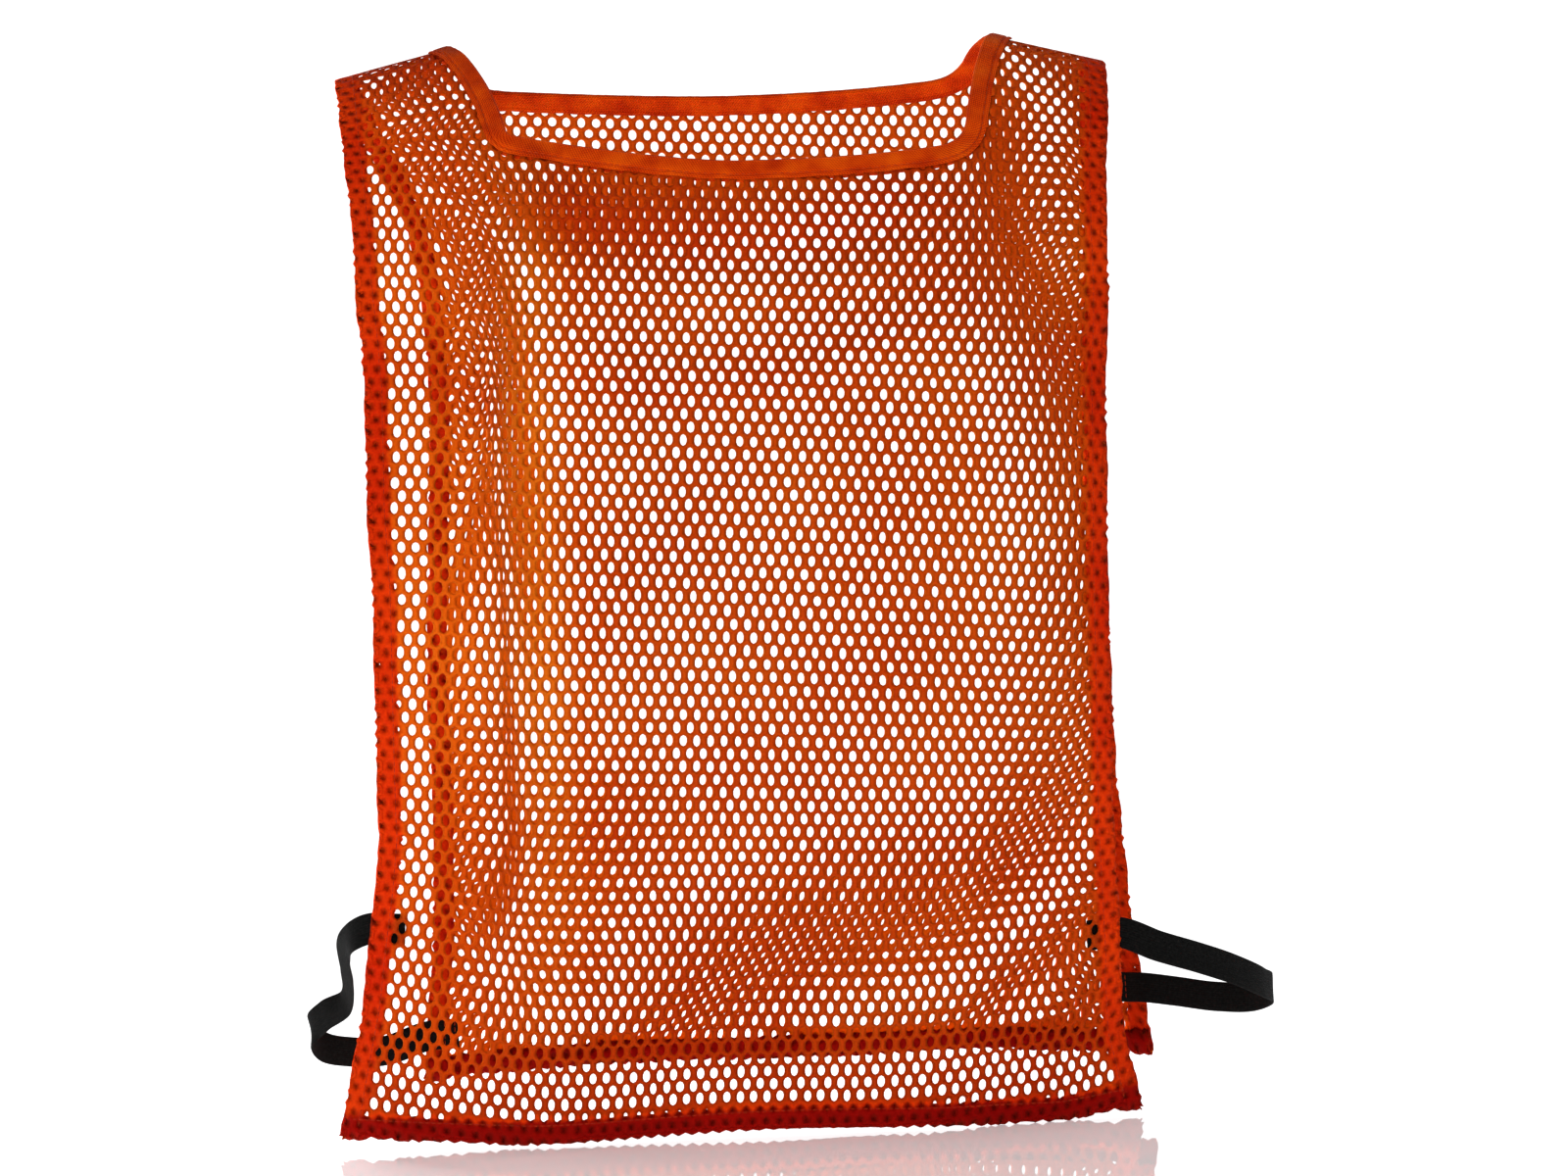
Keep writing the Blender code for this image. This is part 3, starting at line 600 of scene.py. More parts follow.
def lay(panel, kind, u, v, half_thickness, strip):
    """Outer and inner points of the cloth at flat places, with edges turned under as hems."""
    sign = np.where(u < 0, -1.0, 1.0)
    u, v = off_neck(panel.neck, u, np.maximum(v, strip * 0.7 + 0.0002), NECK_INSET + strip)
    if "side" in kind:
        v = np.minimum(v, PANEL_LENGTH - 0.0004 - strip)
    edge = edge_half(np.minimum(v, PANEL_LENGTH))
    past_side = np.minimum(np.abs(u) - edge, hem_cloth(HEM_WIDTH, LAYER) - strip)
    if kind == "bottom_hem":
        past_side = np.minimum(past_side, -0.0003 - strip)
    side, side_height, side_angle = turned_under(past_side, HEM_WIDTH, LAYER)
    on_hem = smooth((side + HEM_WIDTH + 0.003) / 0.003) * (side_angle < 0.1)
    below = LAYER * (1.0 + on_hem)
    past_bottom = np.minimum(v - PANEL_LENGTH, hem_cloth(BOTTOM_HEM, below) - strip)
    drop, drop_height, drop_angle = turned_under(past_bottom, BOTTOM_HEM, below)
    point, normal, right, down = panel.at(sign * (edge + side), PANEL_LENGTH + drop)
    out = right * sign[..., None]
    ca, sa = np.cos(side_angle)[..., None], np.sin(side_angle)[..., None]
    cb, sb = np.cos(drop_angle)[..., None], np.sin(drop_angle)[..., None]
    across = (normal * cb + down * sb) * ca + out * sa
    middle = point + normal * (side_height + drop_height)[..., None]
    thick = across * half_thickness
    return middle + thick, middle - thick


def knit(panel):
    """Column and row of every hole of a panel's knit, and the piece that it belongs to."""
    columns = int(KNIT_HALF / (PITCH_ACROSS / 2))
    i, j = np.meshgrid(np.arange(-columns, columns + 1), np.arange(*KNIT_ROWS))
    i, j = i[(i + j) % 2 == 0], j[(i + j) % 2 == 0]
    a, b = i * PITCH_ACROSS / 2, j * PITCH_DOWN
    u, v = lie_of_knit(panel, a, b)
    edge = edge_half(np.clip(v, 0.0, PANEL_LENGTH))
    side_cloth, bottom_cloth = hem_cloth(HEM_WIDTH, LAYER), hem_cloth(BOTTOM_HEM, LAYER)
    in_neck = np.abs(u) < neck_half(panel.neck, u, v) + NECK_INSET
    in_neck &= v < neck_bottom(panel.neck, u) + NECK_INSET
    keep = (v > -0.0005) & ~in_neck & (np.abs(u) < edge + side_cloth + 0.001)
    keep &= (v < PANEL_LENGTH + bottom_cloth + 0.001)
    keep &= ~((np.abs(u) > edge) & (v > PANEL_LENGTH + 0.001))
    i, j, u, v, edge = (values[keep] for values in (i, j, u, v, edge))
    names = np.full(len(u), "panel", dtype="U16")
    names[v > PANEL_LENGTH] = "bottom_hem"
    names[u < -edge] = "left_side_hem"
    names[u > edge] = "right_side_hem"
    return i, j, names


def in_hem(u, v):
    """1 on the cloth of a hem, 0 on the open panel."""
    side = smooth((np.abs(u) - edge_half(np.minimum(v, PANEL_LENGTH)) + HEM_WIDTH + 0.002) / 0.003)
    bottom = smooth((v - PANEL_LENGTH + BOTTOM_HEM + 0.002) / 0.003)
    return np.maximum(side, bottom)


def painted_fold_shade(u, v):
    """How much painted shade deepens the cloth's colour: in swags across the chest, along the drag lines,
    by the ridge, at the upper -X corner and low down towards the hem.
    """
    across = smooth((0.13 - np.abs(u)) / 0.06)
    folds = 0.75 * bump(v, 0.118 + 0.012 * np.cos(u * 28.0), 0.040) * across
    folds += 0.35 * bump(v, 0.192 + 0.016 * np.cos(u * 24.0 + 0.6), 0.024) * across
    folds += 0.45 * bump(v, 0.215 - 0.55 * (np.abs(u) - 0.12), 0.022) * smooth((np.abs(u) - 0.10) / 0.03)
    folds += 0.40 * smooth((0.05 - v) / 0.05)
    folds += 0.40 * smooth((-u - 0.11) / 0.03) * smooth((0.17 - v) / 0.06)
    folds += 0.25 * smooth((v - 0.36) / 0.08) + 0.35 * smooth((v - 0.50) / 0.05)
    return np.clip(folds, 0.0, MOST_FOLD_SHADE)


def painted_glow(u, v):
    """How much painted golden glow, as if light came through the cloth, its colour takes: on the -X ridge
    and wing.
    """
    fade = smooth((v - 0.07) / 0.05) * (1.0 - smooth((v - 0.42) / 0.12))
    return fade * (bump(u, -0.096, 0.022) + 0.35 * smooth((-u - PLATE_HALF) / 0.01))


def hem_layers_and_shade(u, v):
    """1 on a hem, redder for its three layers and for painted shade; 2 on the bottom hem, darker still
    with painted shade.
    """
    return in_hem(u, v) + (v > PANEL_LENGTH - BOTTOM_HEM)


def cell_corners(i, j):
    """Index of each cell's ten corners in one shared list, and the list's knit places."""
    kx = 4 * i[:, None] + CELL_X[None, :]
    ky = 8 * j[:, None] + CELL_Y[None, :]
    keys, index = np.unique(np.stack([kx.ravel(), ky.ravel()], axis=1), axis=0, return_inverse=True)
    row, part = keys[:, 1] // 8, keys[:, 1] % 8
    b = row * PITCH_DOWN + np.choose(part - 3, CELL_DOWN)
    a = keys[:, 0] * PITCH_ACROSS / 8
    wobble = RANDOM.normal(0.0, JITTER, (len(keys), 2))
    return index.reshape(kx.shape), a + wobble[:, 0], b + wobble[:, 1]


def add_knit(panel, material):
    """Builds the panel and its hems as separate meshes of the one knitted cloth."""
    i, j, names = knit(panel)
    corners, ca, cb = cell_corners(i, j)
    angle = np.radians(HOLE_ANGLES) + RANDOM.normal(0.0, HOLE_TWIST, len(i))[:, None]
    spread = 1.0 + RANDOM.normal(0.0, HOLE_SPREAD, (len(i), 2))
    centre_u, centre_v = lie_of_knit(panel, i * PITCH_ACROSS / 2, j * PITCH_DOWN)
    spread *= 1.0 - HEM_SQUEEZE * in_hem(centre_u, centre_v)[:, None]
    drift = RANDOM.normal(0.0, JITTER, (len(i), 2))
    ha = (i * PITCH_ACROSS / 2 + drift[:, 0])[:, None] + HOLE_HALF[0] * spread[:, :1] * np.cos(angle)
    hb = (j * PITCH_DOWN + drift[:, 1])[:, None] + HOLE_HALF[1] * spread[:, 1:] * np.sin(angle)
    corner_u, corner_v = lie_of_knit(panel, ca, cb)
    hole_u, hole_v = lie_of_knit(panel, ha, hb)
    from_hole = np.hypot(ca[corners] - ha, cb[corners] - hb)
    reach = np.zeros(len(ca))
    np.maximum.at(reach, corners.ravel(), from_hole.ravel())
    made = {}
    for name in ("panel", "left_side_hem", "right_side_hem", "bottom_hem"):
        mine = names == name
        outer, inner = lay(panel, name, corner_u, corner_v, STRAND, 0.0)
        rim, _ = lay(panel, name, hole_u[mine], hole_v[mine], 0.0, EDGE_STRIP)
        made[name] = mesh_of_cells(panel, name, corners[mine], outer, inner, rim,
                                   np.stack([corner_u, corner_v], axis=1),
                                   np.stack([hole_u[mine], hole_v[mine]], axis=2), reach, material)
    return made


def mesh_of_cells(panel, name, corners, outer, inner, rim, corner_flat, rim_flat, reach, material):
    """One closed mesh of knit cells: outer and inner skins that meet round every hole."""
    used, local = np.unique(corners, return_inverse=True)
    local = local.reshape(corners.shape)
    count = len(used)
    points = np.concatenate([outer[used], inner[used], rim.reshape(-1, 3)])
    flat = np.concatenate([corner_flat[used], corner_flat[used], rim_flat.reshape(-1, 2)])
    hole = 2 * count + np.arange(rim.shape[0] * 10).reshape(-1, 10)
    after, hole_after = np.roll(local, -1, axis=1), np.roll(hole, -1, axis=1)
    front = np.stack([local, after, hole_after, hole], axis=2).reshape(-1, 4)
    back = np.stack([after, local, hole, hole_after], axis=2).reshape(-1, 4)
    back = np.where(back < count, back + count, back)
    pairs = np.stack([local, after], axis=2).reshape(-1, 2)
    _, where, times = np.unique(np.sort(pairs, axis=1), axis=0, return_index=True, return_counts=True)
    ends = pairs[where[times == 1]]
    rims = np.stack([ends[:, 1], ends[:, 0], ends[:, 0] + count, ends[:, 1] + count], axis=1)
    faces = np.concatenate([front, back, rims])
    if panel.outward < 0:
        faces = faces[:, ::-1]
    made = add_mesh(f"{panel.name}_{name}_knit", points, faces, material, flat)
    distance = np.concatenate([reach[used], reach[used], np.zeros(rim.shape[0] * 10)])
    u, v = flat[:, 0], flat[:, 1]
    # These attributes carry to the material the painted shade in folds, the painted golden glow on the -X
    # wing, and the hems' layering with painted shade.
    for label, values in (("from_hole", distance * 1000.0), ("fold", painted_fold_shade(u, v)),
                          ("light", painted_glow(u, v)), ("hem", hem_layers_and_shade(u, v))):
        layer = made.data.attributes.new(label, "FLOAT", "POINT")
        layer.data.foreach_set("value", values.astype(np.float32))
    print("KNIT", panel.name, name, len(corners), "holes", 2 * len(faces), "triangles")
    return made


def add_object(name, data):
    """An object in the scene."""
    made = bpy.data.objects.new(name, data)
    bpy.context.scene.collection.objects.link(made)
    return made


def add_mesh(name, points, faces, material, flat=None):
    """A smooth mesh, with its points' places on the flat cloth where they are given."""
    mesh = bpy.data.meshes.new(name)
    mesh.from_pydata(np.asarray(points, float).tolist(), [], [list(map(int, f)) for f in faces])
    mesh.materials.append(material)
    if flat is not None:
        loops = np.empty(len(mesh.loops), dtype=np.int64)
        mesh.loops.foreach_get("vertex_index", loops)
        layer = mesh.uv_layers.new(name="flat")
        layer.data.foreach_set("uv", np.asarray(flat, np.float32)[loops].ravel())
    mesh.polygons.foreach_set("use_smooth", np.ones(len(mesh.polygons), dtype=bool))
    mesh.update()
    return add_object(name, mesh)


def tube_faces(base, rings, around):
    """Faces of a closed tube through rings of points that are numbered from base."""
    faces = []
    last = base + (rings - 1) * around
    for near in range(base, last, around):
        far = near + around
        for m in range(around):
            n = (m + 1) % around
            faces.append((near + m, near + n, far + n, far + m))
    faces.append(tuple(range(base, base + around))[::-1])
    faces.append(tuple(range(last, last + around)))
    return faces


def add_tubes(name, points, faces, material, flat=None):
    """A mesh of closed tubes, with their faces turned outwards."""
    made = add_mesh(name, points, faces, material, flat)
    bm = bmesh.new()
    bm.from_mesh(made.data)
    bmesh.ops.recalc_face_normals(bm, faces=bm.faces)
    bm.to_mesh(made.data)
    bm.free()
    return made


def sweep(name, stations, material, flat):
    """A closed tube through rings of points, stations[k][m]."""
    faces = tube_faces(0, *stations.shape[:2])
    return add_tubes(name, stations.reshape(-1, 3), faces, material, flat.reshape(-1, 2))


# ------------------ neck tape
def tape_section():
    """The tape's closed cross-section as (inward, height) places."""
    def leg(side):
        at = np.linspace(TAPE_WIDTH, 0.0, 46)
        rib = RIB_HEIGHT * np.cos(2 * math.pi * at / TAPE_RIB)
        groove = 0.00050 * np.exp(-((at - TAPE_GROOVE) / 0.00045) ** 2)
        rounded = 0.00035 * smooth((at - TAPE_WIDTH + 0.0008) / 0.0008) ** 2
        return list(zip(at, side * (TAPE_OUTER + rib - groove - rounded)))

    turn = np.linspace(0.0, math.pi, 11)[1:-1]
    fold_outside = [(-TAPE_OUTER * math.sin(a) * TAPE_FOLD, TAPE_OUTER * math.cos(a)) for a in turn]
    inner = TAPE_OUTER - TAPE
    inside = [(TAPE_WIDTH, -inner)] + [(at, -inner) for at in (0.0065, 0.0035, 0.0)]
    inside += [(-inner * math.sin(a) * TAPE_FOLD, -inner * math.cos(a)) for a in turn[::2]]
    inside += [(at, inner) for at in (0.0, 0.0035, 0.0065)] + [(TAPE_WIDTH, inner)]
    return np.array(leg(1.0) + fold_outside + leg(-1.0)[::-1] + inside)


def add_tape(panel, material):
    """A ribbed tape folded over the neck edge, a little uneven along its length."""
    line = neck_line(panel.neck)
    ring = tape_section()
    run = np.arange(len(line)) * TAPE_STEP
    turns = run * 2 * math.pi
    pucker = 0.00010 * np.sin(turns / 0.0041) + 0.00012 * np.sin(turns / 0.0137)
    wander = 0.00018 * np.sin(turns / 0.021 + 1.0)
    reach = ring[None, :, 0] + TAPE_OUTER * TAPE_FOLD + wander[:, None] * ring[None, :, 0] / TAPE_WIDTH
    # A tuck stands up where the tape turns the sharp corner.
    corner = np.array((-panel.neck["left"], panel.neck["left_down"]))
    away = np.linalg.norm(line - corner, axis=1)
    pucker += 0.0011 * np.exp(-(away / 0.0030) ** 2) + 0.0004 * np.exp(-((away - 0.0055) / 0.0016) ** 2)
    height = ring[None, :, 1] * (1.0 + pucker[:, None] / TAPE_OUTER)
    flat = line[:, None, :] + into_cloth(line)[:, None, :] * reach[..., None]
    flat[..., 1] = np.maximum(flat[..., 1], 0.0002)
    points = panel.over(flat[..., 0], flat[..., 1], height)
    uv = np.stack(np.meshgrid(run_of(ring), run), axis=2)
    return sweep(f"{panel.name}_neck_tape", points, material, uv)


# ------------------ threads
def stitches(line, normals, first=0):
    """Points, numbered from first, and faces of a row of stitches along a line.

    Each stitch rises from the cloth and dips back.
    """
    run = run_of(line)
    points, faces = [], []
    rings = len(STITCH_ARCH)
    turns = [2 * math.pi * m / THREAD_SIDES for m in range(THREAD_SIDES)]
    at = 0.0
    while at + STITCH < run[-1]:
        spots = np.linspace(at, at + STITCH, rings)
        centre = places_on(line, run, spots)
        up = unit(places_on(normals, run, spots))
        width = np.cross(unit(centre[-1] - centre[0]), up)
        faces += tube_faces(first + len(points), rings, THREAD_SIDES)
        for k in range(rings):
            arch, thick = STITCH_ARCH[k] * THREAD_RADIUS, STITCH_THICK[k] * THREAD_RADIUS
            points += [centre[k] + up[k] * (arch + thick * math.sin(a)) + width[k] * thick * math.cos(a)
                       for a in turns]
        at += STITCH + STITCH_GAP
    return points, faces


def sewn_line(panel, u, v, height):
    """Points over the cloth at flat places, and the cloth's outward directions there."""
    point, normal, _, _ = panel.at(u, v)
    return point + normal * height, normal


def sew(panel, name, us, vs, height, material):
    """A row of stitches that stands for the CAD model's thread of that name."""
    row = add_tubes(f"{name}_stitches", *stitches(*sewn_line(panel, us, vs, height)), material)
    finish_piece(row, panel.name, f"{name}_thread")


# ------------------ straps
def strap_height(from_edge):
    """Height of a strap's middle over its panel: it lifts off as it nears the edge."""
    share = 1.0 - from_edge / STRAP_BOND
    return -(2 * LAYER + STRAND + STRAP_CLEARANCE + STRAP_THICKNESS / 2) - STRAP_LIFT * share * share


def strap_knots(hand, free):
    """Points along a strap, from its front sewn end to its back one, with its width there."""
    sign = SIGN[hand]
    ends = []
    for panel, v in ((front, FRONT_STRAP_AT[hand]), (back, BACK_STRAP_AT[hand])):
        edge = float(edge_half(v))
        end = []
        for from_edge in (STRAP_BOND, STRAP_BOND / 2, 0.0):
            point, normal, _, down = panel.at(sign * (edge - from_edge), v)
            end.append((point + normal * strap_height(from_edge), down))
        ends.append(end)
    loose = [(np.array(point), unit(np.array(width))) for point, width in free]
    return ends[0] + loose + ends[1][::-1]


def curve_through(knots, count):
    """Evenly spaced points of a smooth curve, its width's direction at each, and its length."""
    points, widths = (np.array(values) for values in zip(*knots))
    gaps = np.linalg.norm(np.diff(points, axis=0), axis=1)
    slopes = np.diff(points, axis=0) / gaps[:, None]
    weights = gaps[1:] / (gaps[1:] + gaps[:-1])
    middle = slopes[:-1] * weights[:, None] + slopes[1:] * (1.0 - weights[:, None])
    tangents = np.vstack([slopes[:1], middle, slopes[-1:]])
    dense = []
    for k, gap in enumerate(gaps):
        for t in (n / 24 for n in range(24)):
            start, end = (1 + 2 * t) * (1 - t) ** 2, t * t * (3 - 2 * t)
            leave, arrive = t * (1 - t) ** 2 * gap, t * t * (t - 1) * gap
            point = points[k] * start + points[k + 1] * end
            point = point + tangents[k] * leave + tangents[k + 1] * arrive
            dense.append((*point, *(widths[k] * start + widths[k + 1] * end)))
    dense.append((*points[-1], *widths[-1]))
    dense = np.array(dense)
    run = run_of(dense[:, :3])
    rows = places_on(dense, run, np.linspace(0.0, run[-1], count))
    return rows[:, :3], rows[:, 3:], run[-1]


def add_strap(hand, free, material):
    """A ribbed elastic strap, which follows the front panel at one end and the back at the other."""
    line, width, length = curve_through(strap_knots(hand, free), STRAP_STATIONS)
    along = unit(np.gradient(line, axis=0))
    width = unit(width - along * np.sum(width * along, axis=1, keepdims=True))
    face = np.cross(along, width)
    x = np.linspace(-1.0, 1.0, 4 * STRAP_RIBS + 1)
    rib = RIB_HEIGHT * (np.cos(x * STRAP_RIBS * math.pi) - 1.0)
    top = STRAP_THICKNESS / 2 * (1.0 - 0.55 * np.abs(x) ** 10) + rib
    ring = np.concatenate([np.stack([x, top], axis=1), np.stack([x[::-1], -top[::-1]], axis=1)])
    ring[:, 0] *= STRAP_WIDTH / 2
    points = (line[:, None, :] + width[:, None, :] * ring[None, :, :1]
              + face[:, None, :] * ring[None, :, 1:])
    run = np.linspace(0.0, length, STRAP_STATIONS)
    uv = np.stack(np.meshgrid(ring[:, 0], run), axis=2)
    print("STRAP", hand, round(length, 4))
    strap = sweep(f"{hand}_elastic_strap", points, material, uv)
    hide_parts(f"{hand}_strap")
    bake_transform(strap)


def add_bartack(panel, hand, v, material):
    """Rows of stitches through a strap's sewn end, on its free face."""
    points, faces = [], []
    for row in range(BARTACK_ROWS):
        from_edge = STRAP_BOND - BARTACK_INSET - BARTACK_PITCH * row
        us = np.full(12, SIGN[hand] * (float(edge_half(v)) - from_edge))
        vs = v + np.linspace(-BARTACK_HALF, BARTACK_HALF, 12)
        height = strap_height(from_edge) - STRAP_THICKNESS / 2 - THREAD_RADIUS * 0.3
        line, normal = sewn_line(panel, us, vs, height)
        more_points, more_faces = stitches(line, -normal, len(points))
        points += more_points
        faces += more_faces
    tack = add_tubes(f"{panel.name}_{hand}_bartack_stitches", points, faces, material)
    finish_piece(tack, panel.name, f"{panel.name}_{hand}_bartack")


# ------------------ shoulder seams
def add_seam(hand, material):
    """Both panels' seam allowance, turned to the back inside the shoulder."""
    us = SIGN[hand] * np.linspace(NECK_TOP_HALF + 0.010, EDGE_HALF[0] - 0.0008, 36)
    # The strip's section, as places down the back panel and heights over it.
    across = np.array((0.0008, 0.0030, 0.0052, 0.0074, 0.0074, 0.0052, 0.0030, 0.0008))
    height = np.array((-1.0, -1.0, -1.0, -1.15, -1.75, -1.9, -1.9, -1.8)) * 0.00095 - 0.0006
    frill = 0.00015 * np.sin(us * 900)
    rings = [back.over(np.full(8, u), across, height + wave) for u, wave in zip(us, frill)]
    uv = np.stack(np.meshgrid(across, us), axis=2)
    seam = sweep(f"{hand}_shoulder_seam_strip", np.array(rings), material, uv)
    finish_piece(seam, "back", f"{hand}_shoulder_seam")


# ------------------ materials
def feed(tree, value, socket):
    """Links a socket to another node's output, or sets it to a plain value."""
    if isinstance(value, bpy.types.NodeSocket):
        tree.links.new(value, socket)
    else:
        socket.default_value = value


def node(tree, kind, **settings):
    """A node, with its inputs and options set by name."""
    made = tree.nodes.new(kind)
    for key, value in settings.items():
        if key in made.inputs:
            feed(tree, value, made.inputs[key])
        else:
            setattr(made, key, value)
    return made


def principled(name, **settings):
    """A material's node tree and its Principled shader, with the shader's inputs set by name."""
    material = bpy.data.materials.new(name)
    material.use_nodes = True
    shader = material.node_tree.nodes["Principled BSDF"]
    for key, value in settings.items():
        shader.inputs[key.replace("_", " ")].default_value = value
    return material, material.node_tree, shader


def fabric(name, roughness, specular, sheen, tint):
    return principled(name, Roughness=roughness, Specular_IOR_Level=specular, Sheen_Weight=sheen,
                      Sheen_Tint=(*tint, 1.0), Sheen_Roughness=0.45)


def mix_shaders(tree, fac, first, second, output):
    """Mixes two shaders into a tree's output node."""
    mix = node(tree, "ShaderNodeMixShader", Fac=fac)
    tree.links.new(first.outputs[0], mix.inputs[1])
    tree.links.new(second.outputs[0], mix.inputs[2])
    tree.links.new(mix.outputs[0], tree.nodes[output].inputs["Surface"])


def maths(tree, operation, first, second=None):
    made = node(tree, "ShaderNodeMath", operation=operation)
    feed(tree, first, made.inputs[0])
    if second is not None:
        feed(tree, second, made.inputs[1])
    return made.outputs[0]


def sine(tree, value, wavelength):
    """A sine wave over a value, of a given wavelength."""
    return maths(tree, "SINE", maths(tree, "MULTIPLY", value, 2 * math.pi / wavelength))


def ramp(tree, fac, stops):
    made = node(tree, "ShaderNodeValToRGB", Fac=fac)
    elements = made.color_ramp.elements
    while len(elements) < len(stops):
        elements.new(0.5)
    for element, (at, colour) in zip(elements, stops):
        element.position, element.color = at, (*colour, 1.0)
    return made.outputs["Color"]


def blend(tree, fac, first, second):
    """One colour over another, by a factor from 0 to 1."""
    made = node(tree, "ShaderNodeMix", data_type="RGBA", clamp_factor=True, Factor=fac)
    for label, colour in (("A", first), ("B", second)):
        socket = next(x for x in made.inputs if x.name == label and x.type == "RGBA")
        tree.links.new(colour, socket)
    return next(x for x in made.outputs if x.type == "RGBA")


def attribute(tree, name):
    return node(tree, "ShaderNodeAttribute", attribute_name=name).outputs["Fac"]


def flat_places(tree):
    """The flat cloth's own coordinates, in metres, as a vector and two numbers."""
    place = node(tree, "ShaderNodeUVMap", uv_map="flat").outputs["UV"]
    parts = node(tree, "ShaderNodeSeparateXYZ", Vector=place)
    return place, parts.outputs["X"], parts.outputs["Y"]


def noise(tree, vector, scale, detail=2.0):
    return node(tree, "ShaderNodeTexNoise", Scale=scale, Detail=detail, Vector=vector).outputs["Fac"]


def add_relief(tree, shader, height, strength, distance):
    """Bumps a shader's surface by a height, and returns the bumped normal."""
    bumped = node(tree, "ShaderNodeBump", Strength=strength, Distance=distance, Height=height)
    tree.links.new(bumped.outputs["Normal"], shader.inputs["Normal"])
    return bumped.outputs["Normal"]


def knit_height(tree, u, v):
    """Loops of a warp knit: chevrons that climb each column."""
    across = maths(tree, "PINGPONG", maths(tree, "DIVIDE", u, LOOP_ACROSS / 2), 1.0)
    climb = maths(tree, "ADD", maths(tree, "DIVIDE", v, LOOP_DOWN), maths(tree, "MULTIPLY", across, 0.8))
    ridge = sine(tree, across, 2.0)
    return maths(tree, "ADD", maths(tree, "MULTIPLY", sine(tree, climb, 1.0), 0.5), ridge)


def cloth_material():
    """Dyed polyester mesh: knit loops, uneven dye, painted shade in folds and hems, a painted golden glow
    on the -X ridge and wing, and light that comes through from behind.
    """
    material, tree, shader = fabric("orange_mesh_knit", 0.62, 0.11, 0.03, (1.0, 0.50, 0.20))
    place, u, v = flat_places(tree)
    broad = maths(tree, "MULTIPLY", noise(tree, place, 11.0), 0.80)
    fine = noise(tree, place, 900.0)
    mixed = maths(tree, "ADD", broad, maths(tree, "MULTIPLY", fine, 0.45))
    mixed = maths(tree, "SUBTRACT", mixed, 0.125)
    # Round each hole runs a ring of thread, with a dark seam between it and the ground.
    ring = ramp(tree, attribute(tree, "from_hole"), RING_TONES)
    toned = maths(tree, "ADD", mixed, maths(tree, "SUBTRACT", ring, 0.5))
    colour = ramp(tree, toned, PLAIN_TONES)
    # Hems are three layers thick and look deeper, and painted shade deepens them further, most on the
    # bottom hem. Folds get painted shade, and the -X ridge and wing a painted golden glow.
    hem = attribute(tree, "hem")
    # low is 1 on the bottom hem only, whose dark colour is painted shade.
    low = maths(tree, "SUBTRACT", hem, 1.0)
    for depth, tones in ((attribute(tree, "light"), PAINTED_GLOW_TONES), (attribute(tree, "fold"), FOLD_SHADE_TONES),
                         (hem, HEM_LAYER_AND_SHADE_TONES), (low, BOTTOM_HEM_SHADE_TONES)):
        colour = blend(tree, depth, colour, ramp(tree, toned, tones))
    tree.links.new(colour, shader.inputs["Base Color"])
    height = maths(tree, "ADD", knit_height(tree, u, v), maths(tree, "MULTIPLY", fine, 0.9))
    normal = add_relief(tree, shader, height, 0.55, 0.00012)
    back_lit = node(tree, "ShaderNodeBsdfTranslucent", Color=THROUGH, Normal=normal)
    mix_shaders(tree, THROUGH_SHARE, shader, back_lit, "Material Output")
    return material


def tape_material():
    """Fine ribbed knit tape, its ribs along its length."""
    material, tree, shader = fabric("ribbed_neck_tape", 0.65, 0.10, 0.03, (1.0, 0.55, 0.25))
    place, across, run = flat_places(tree)
    slant = maths(tree, "ADD", maths(tree, "DIVIDE", run, 0.0013), maths(tree, "DIVIDE", across, 0.0021))
    height = maths(tree, "ADD", sine(tree, slant, 1.0), sine(tree, across, TAPE_RIB))
    # Besides uneven dye, the tone follows the relief: raised ribs are painted lighter and the grooves
    # darker, as painted shade.
    toned = maths(tree, "ADD", noise(tree, place, 60.0), maths(tree, "MULTIPLY", height, 0.09))
    tree.links.new(ramp(tree, toned, TAPE_TONES), shader.inputs["Base Color"])
    add_relief(tree, shader, height, 0.8, 0.00018)
    return material


def elastic_material():
    """Black elastic, woven of crosswise weft over lengthwise warp."""
    material, tree, shader = fabric("black_woven_elastic", 0.75, 0.18, 0.08, (0.5, 0.5, 0.5))
    place, across, run = flat_places(tree)
    woven = maths(tree, "MULTIPLY", sine(tree, run, WEFT), sine(tree, across, WARP))
    fuzz = noise(tree, place, 700.0, 3.0)
    toned = maths(tree, "ADD", maths(tree, "MULTIPLY", woven, 0.25), fuzz)
    tree.links.new(ramp(tree, toned, ELASTIC_TONES), shader.inputs["Base Color"])
    add_relief(tree, shader, maths(tree, "ADD", woven, fuzz), 0.6, 0.00015)
    return material


def thread_material():
    """Spun thread, with its twist as slanting bands."""
    material, tree, shader = fabric("sewing_thread", 0.5, 0.4, 0.2, (1.0, 0.6, 0.4))
    place = node(tree, "ShaderNodeTexCoord").outputs["Object"]
    tree.links.new(ramp(tree, noise(tree, place, 260.0), THREAD_TONES), shader.inputs["Base Color"])
    twist = node(tree, "ShaderNodeTexWave", bands_direction="DIAGONAL", Scale=900.0, Distortion=1.5,
                 Vector=place)
    add_relief(tree, shader, twist.outputs["Fac"], 0.35, 0.0001)
    return material


# ------------------ build
def finish_piece(piece, side, cad_node):
    """Hides the CAD part that a piece stands for, and attaches a back panel's piece to the back body."""
    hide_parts(cad_node)
    if side == "front":
        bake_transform(piece)
    else:
        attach(piece, "back")


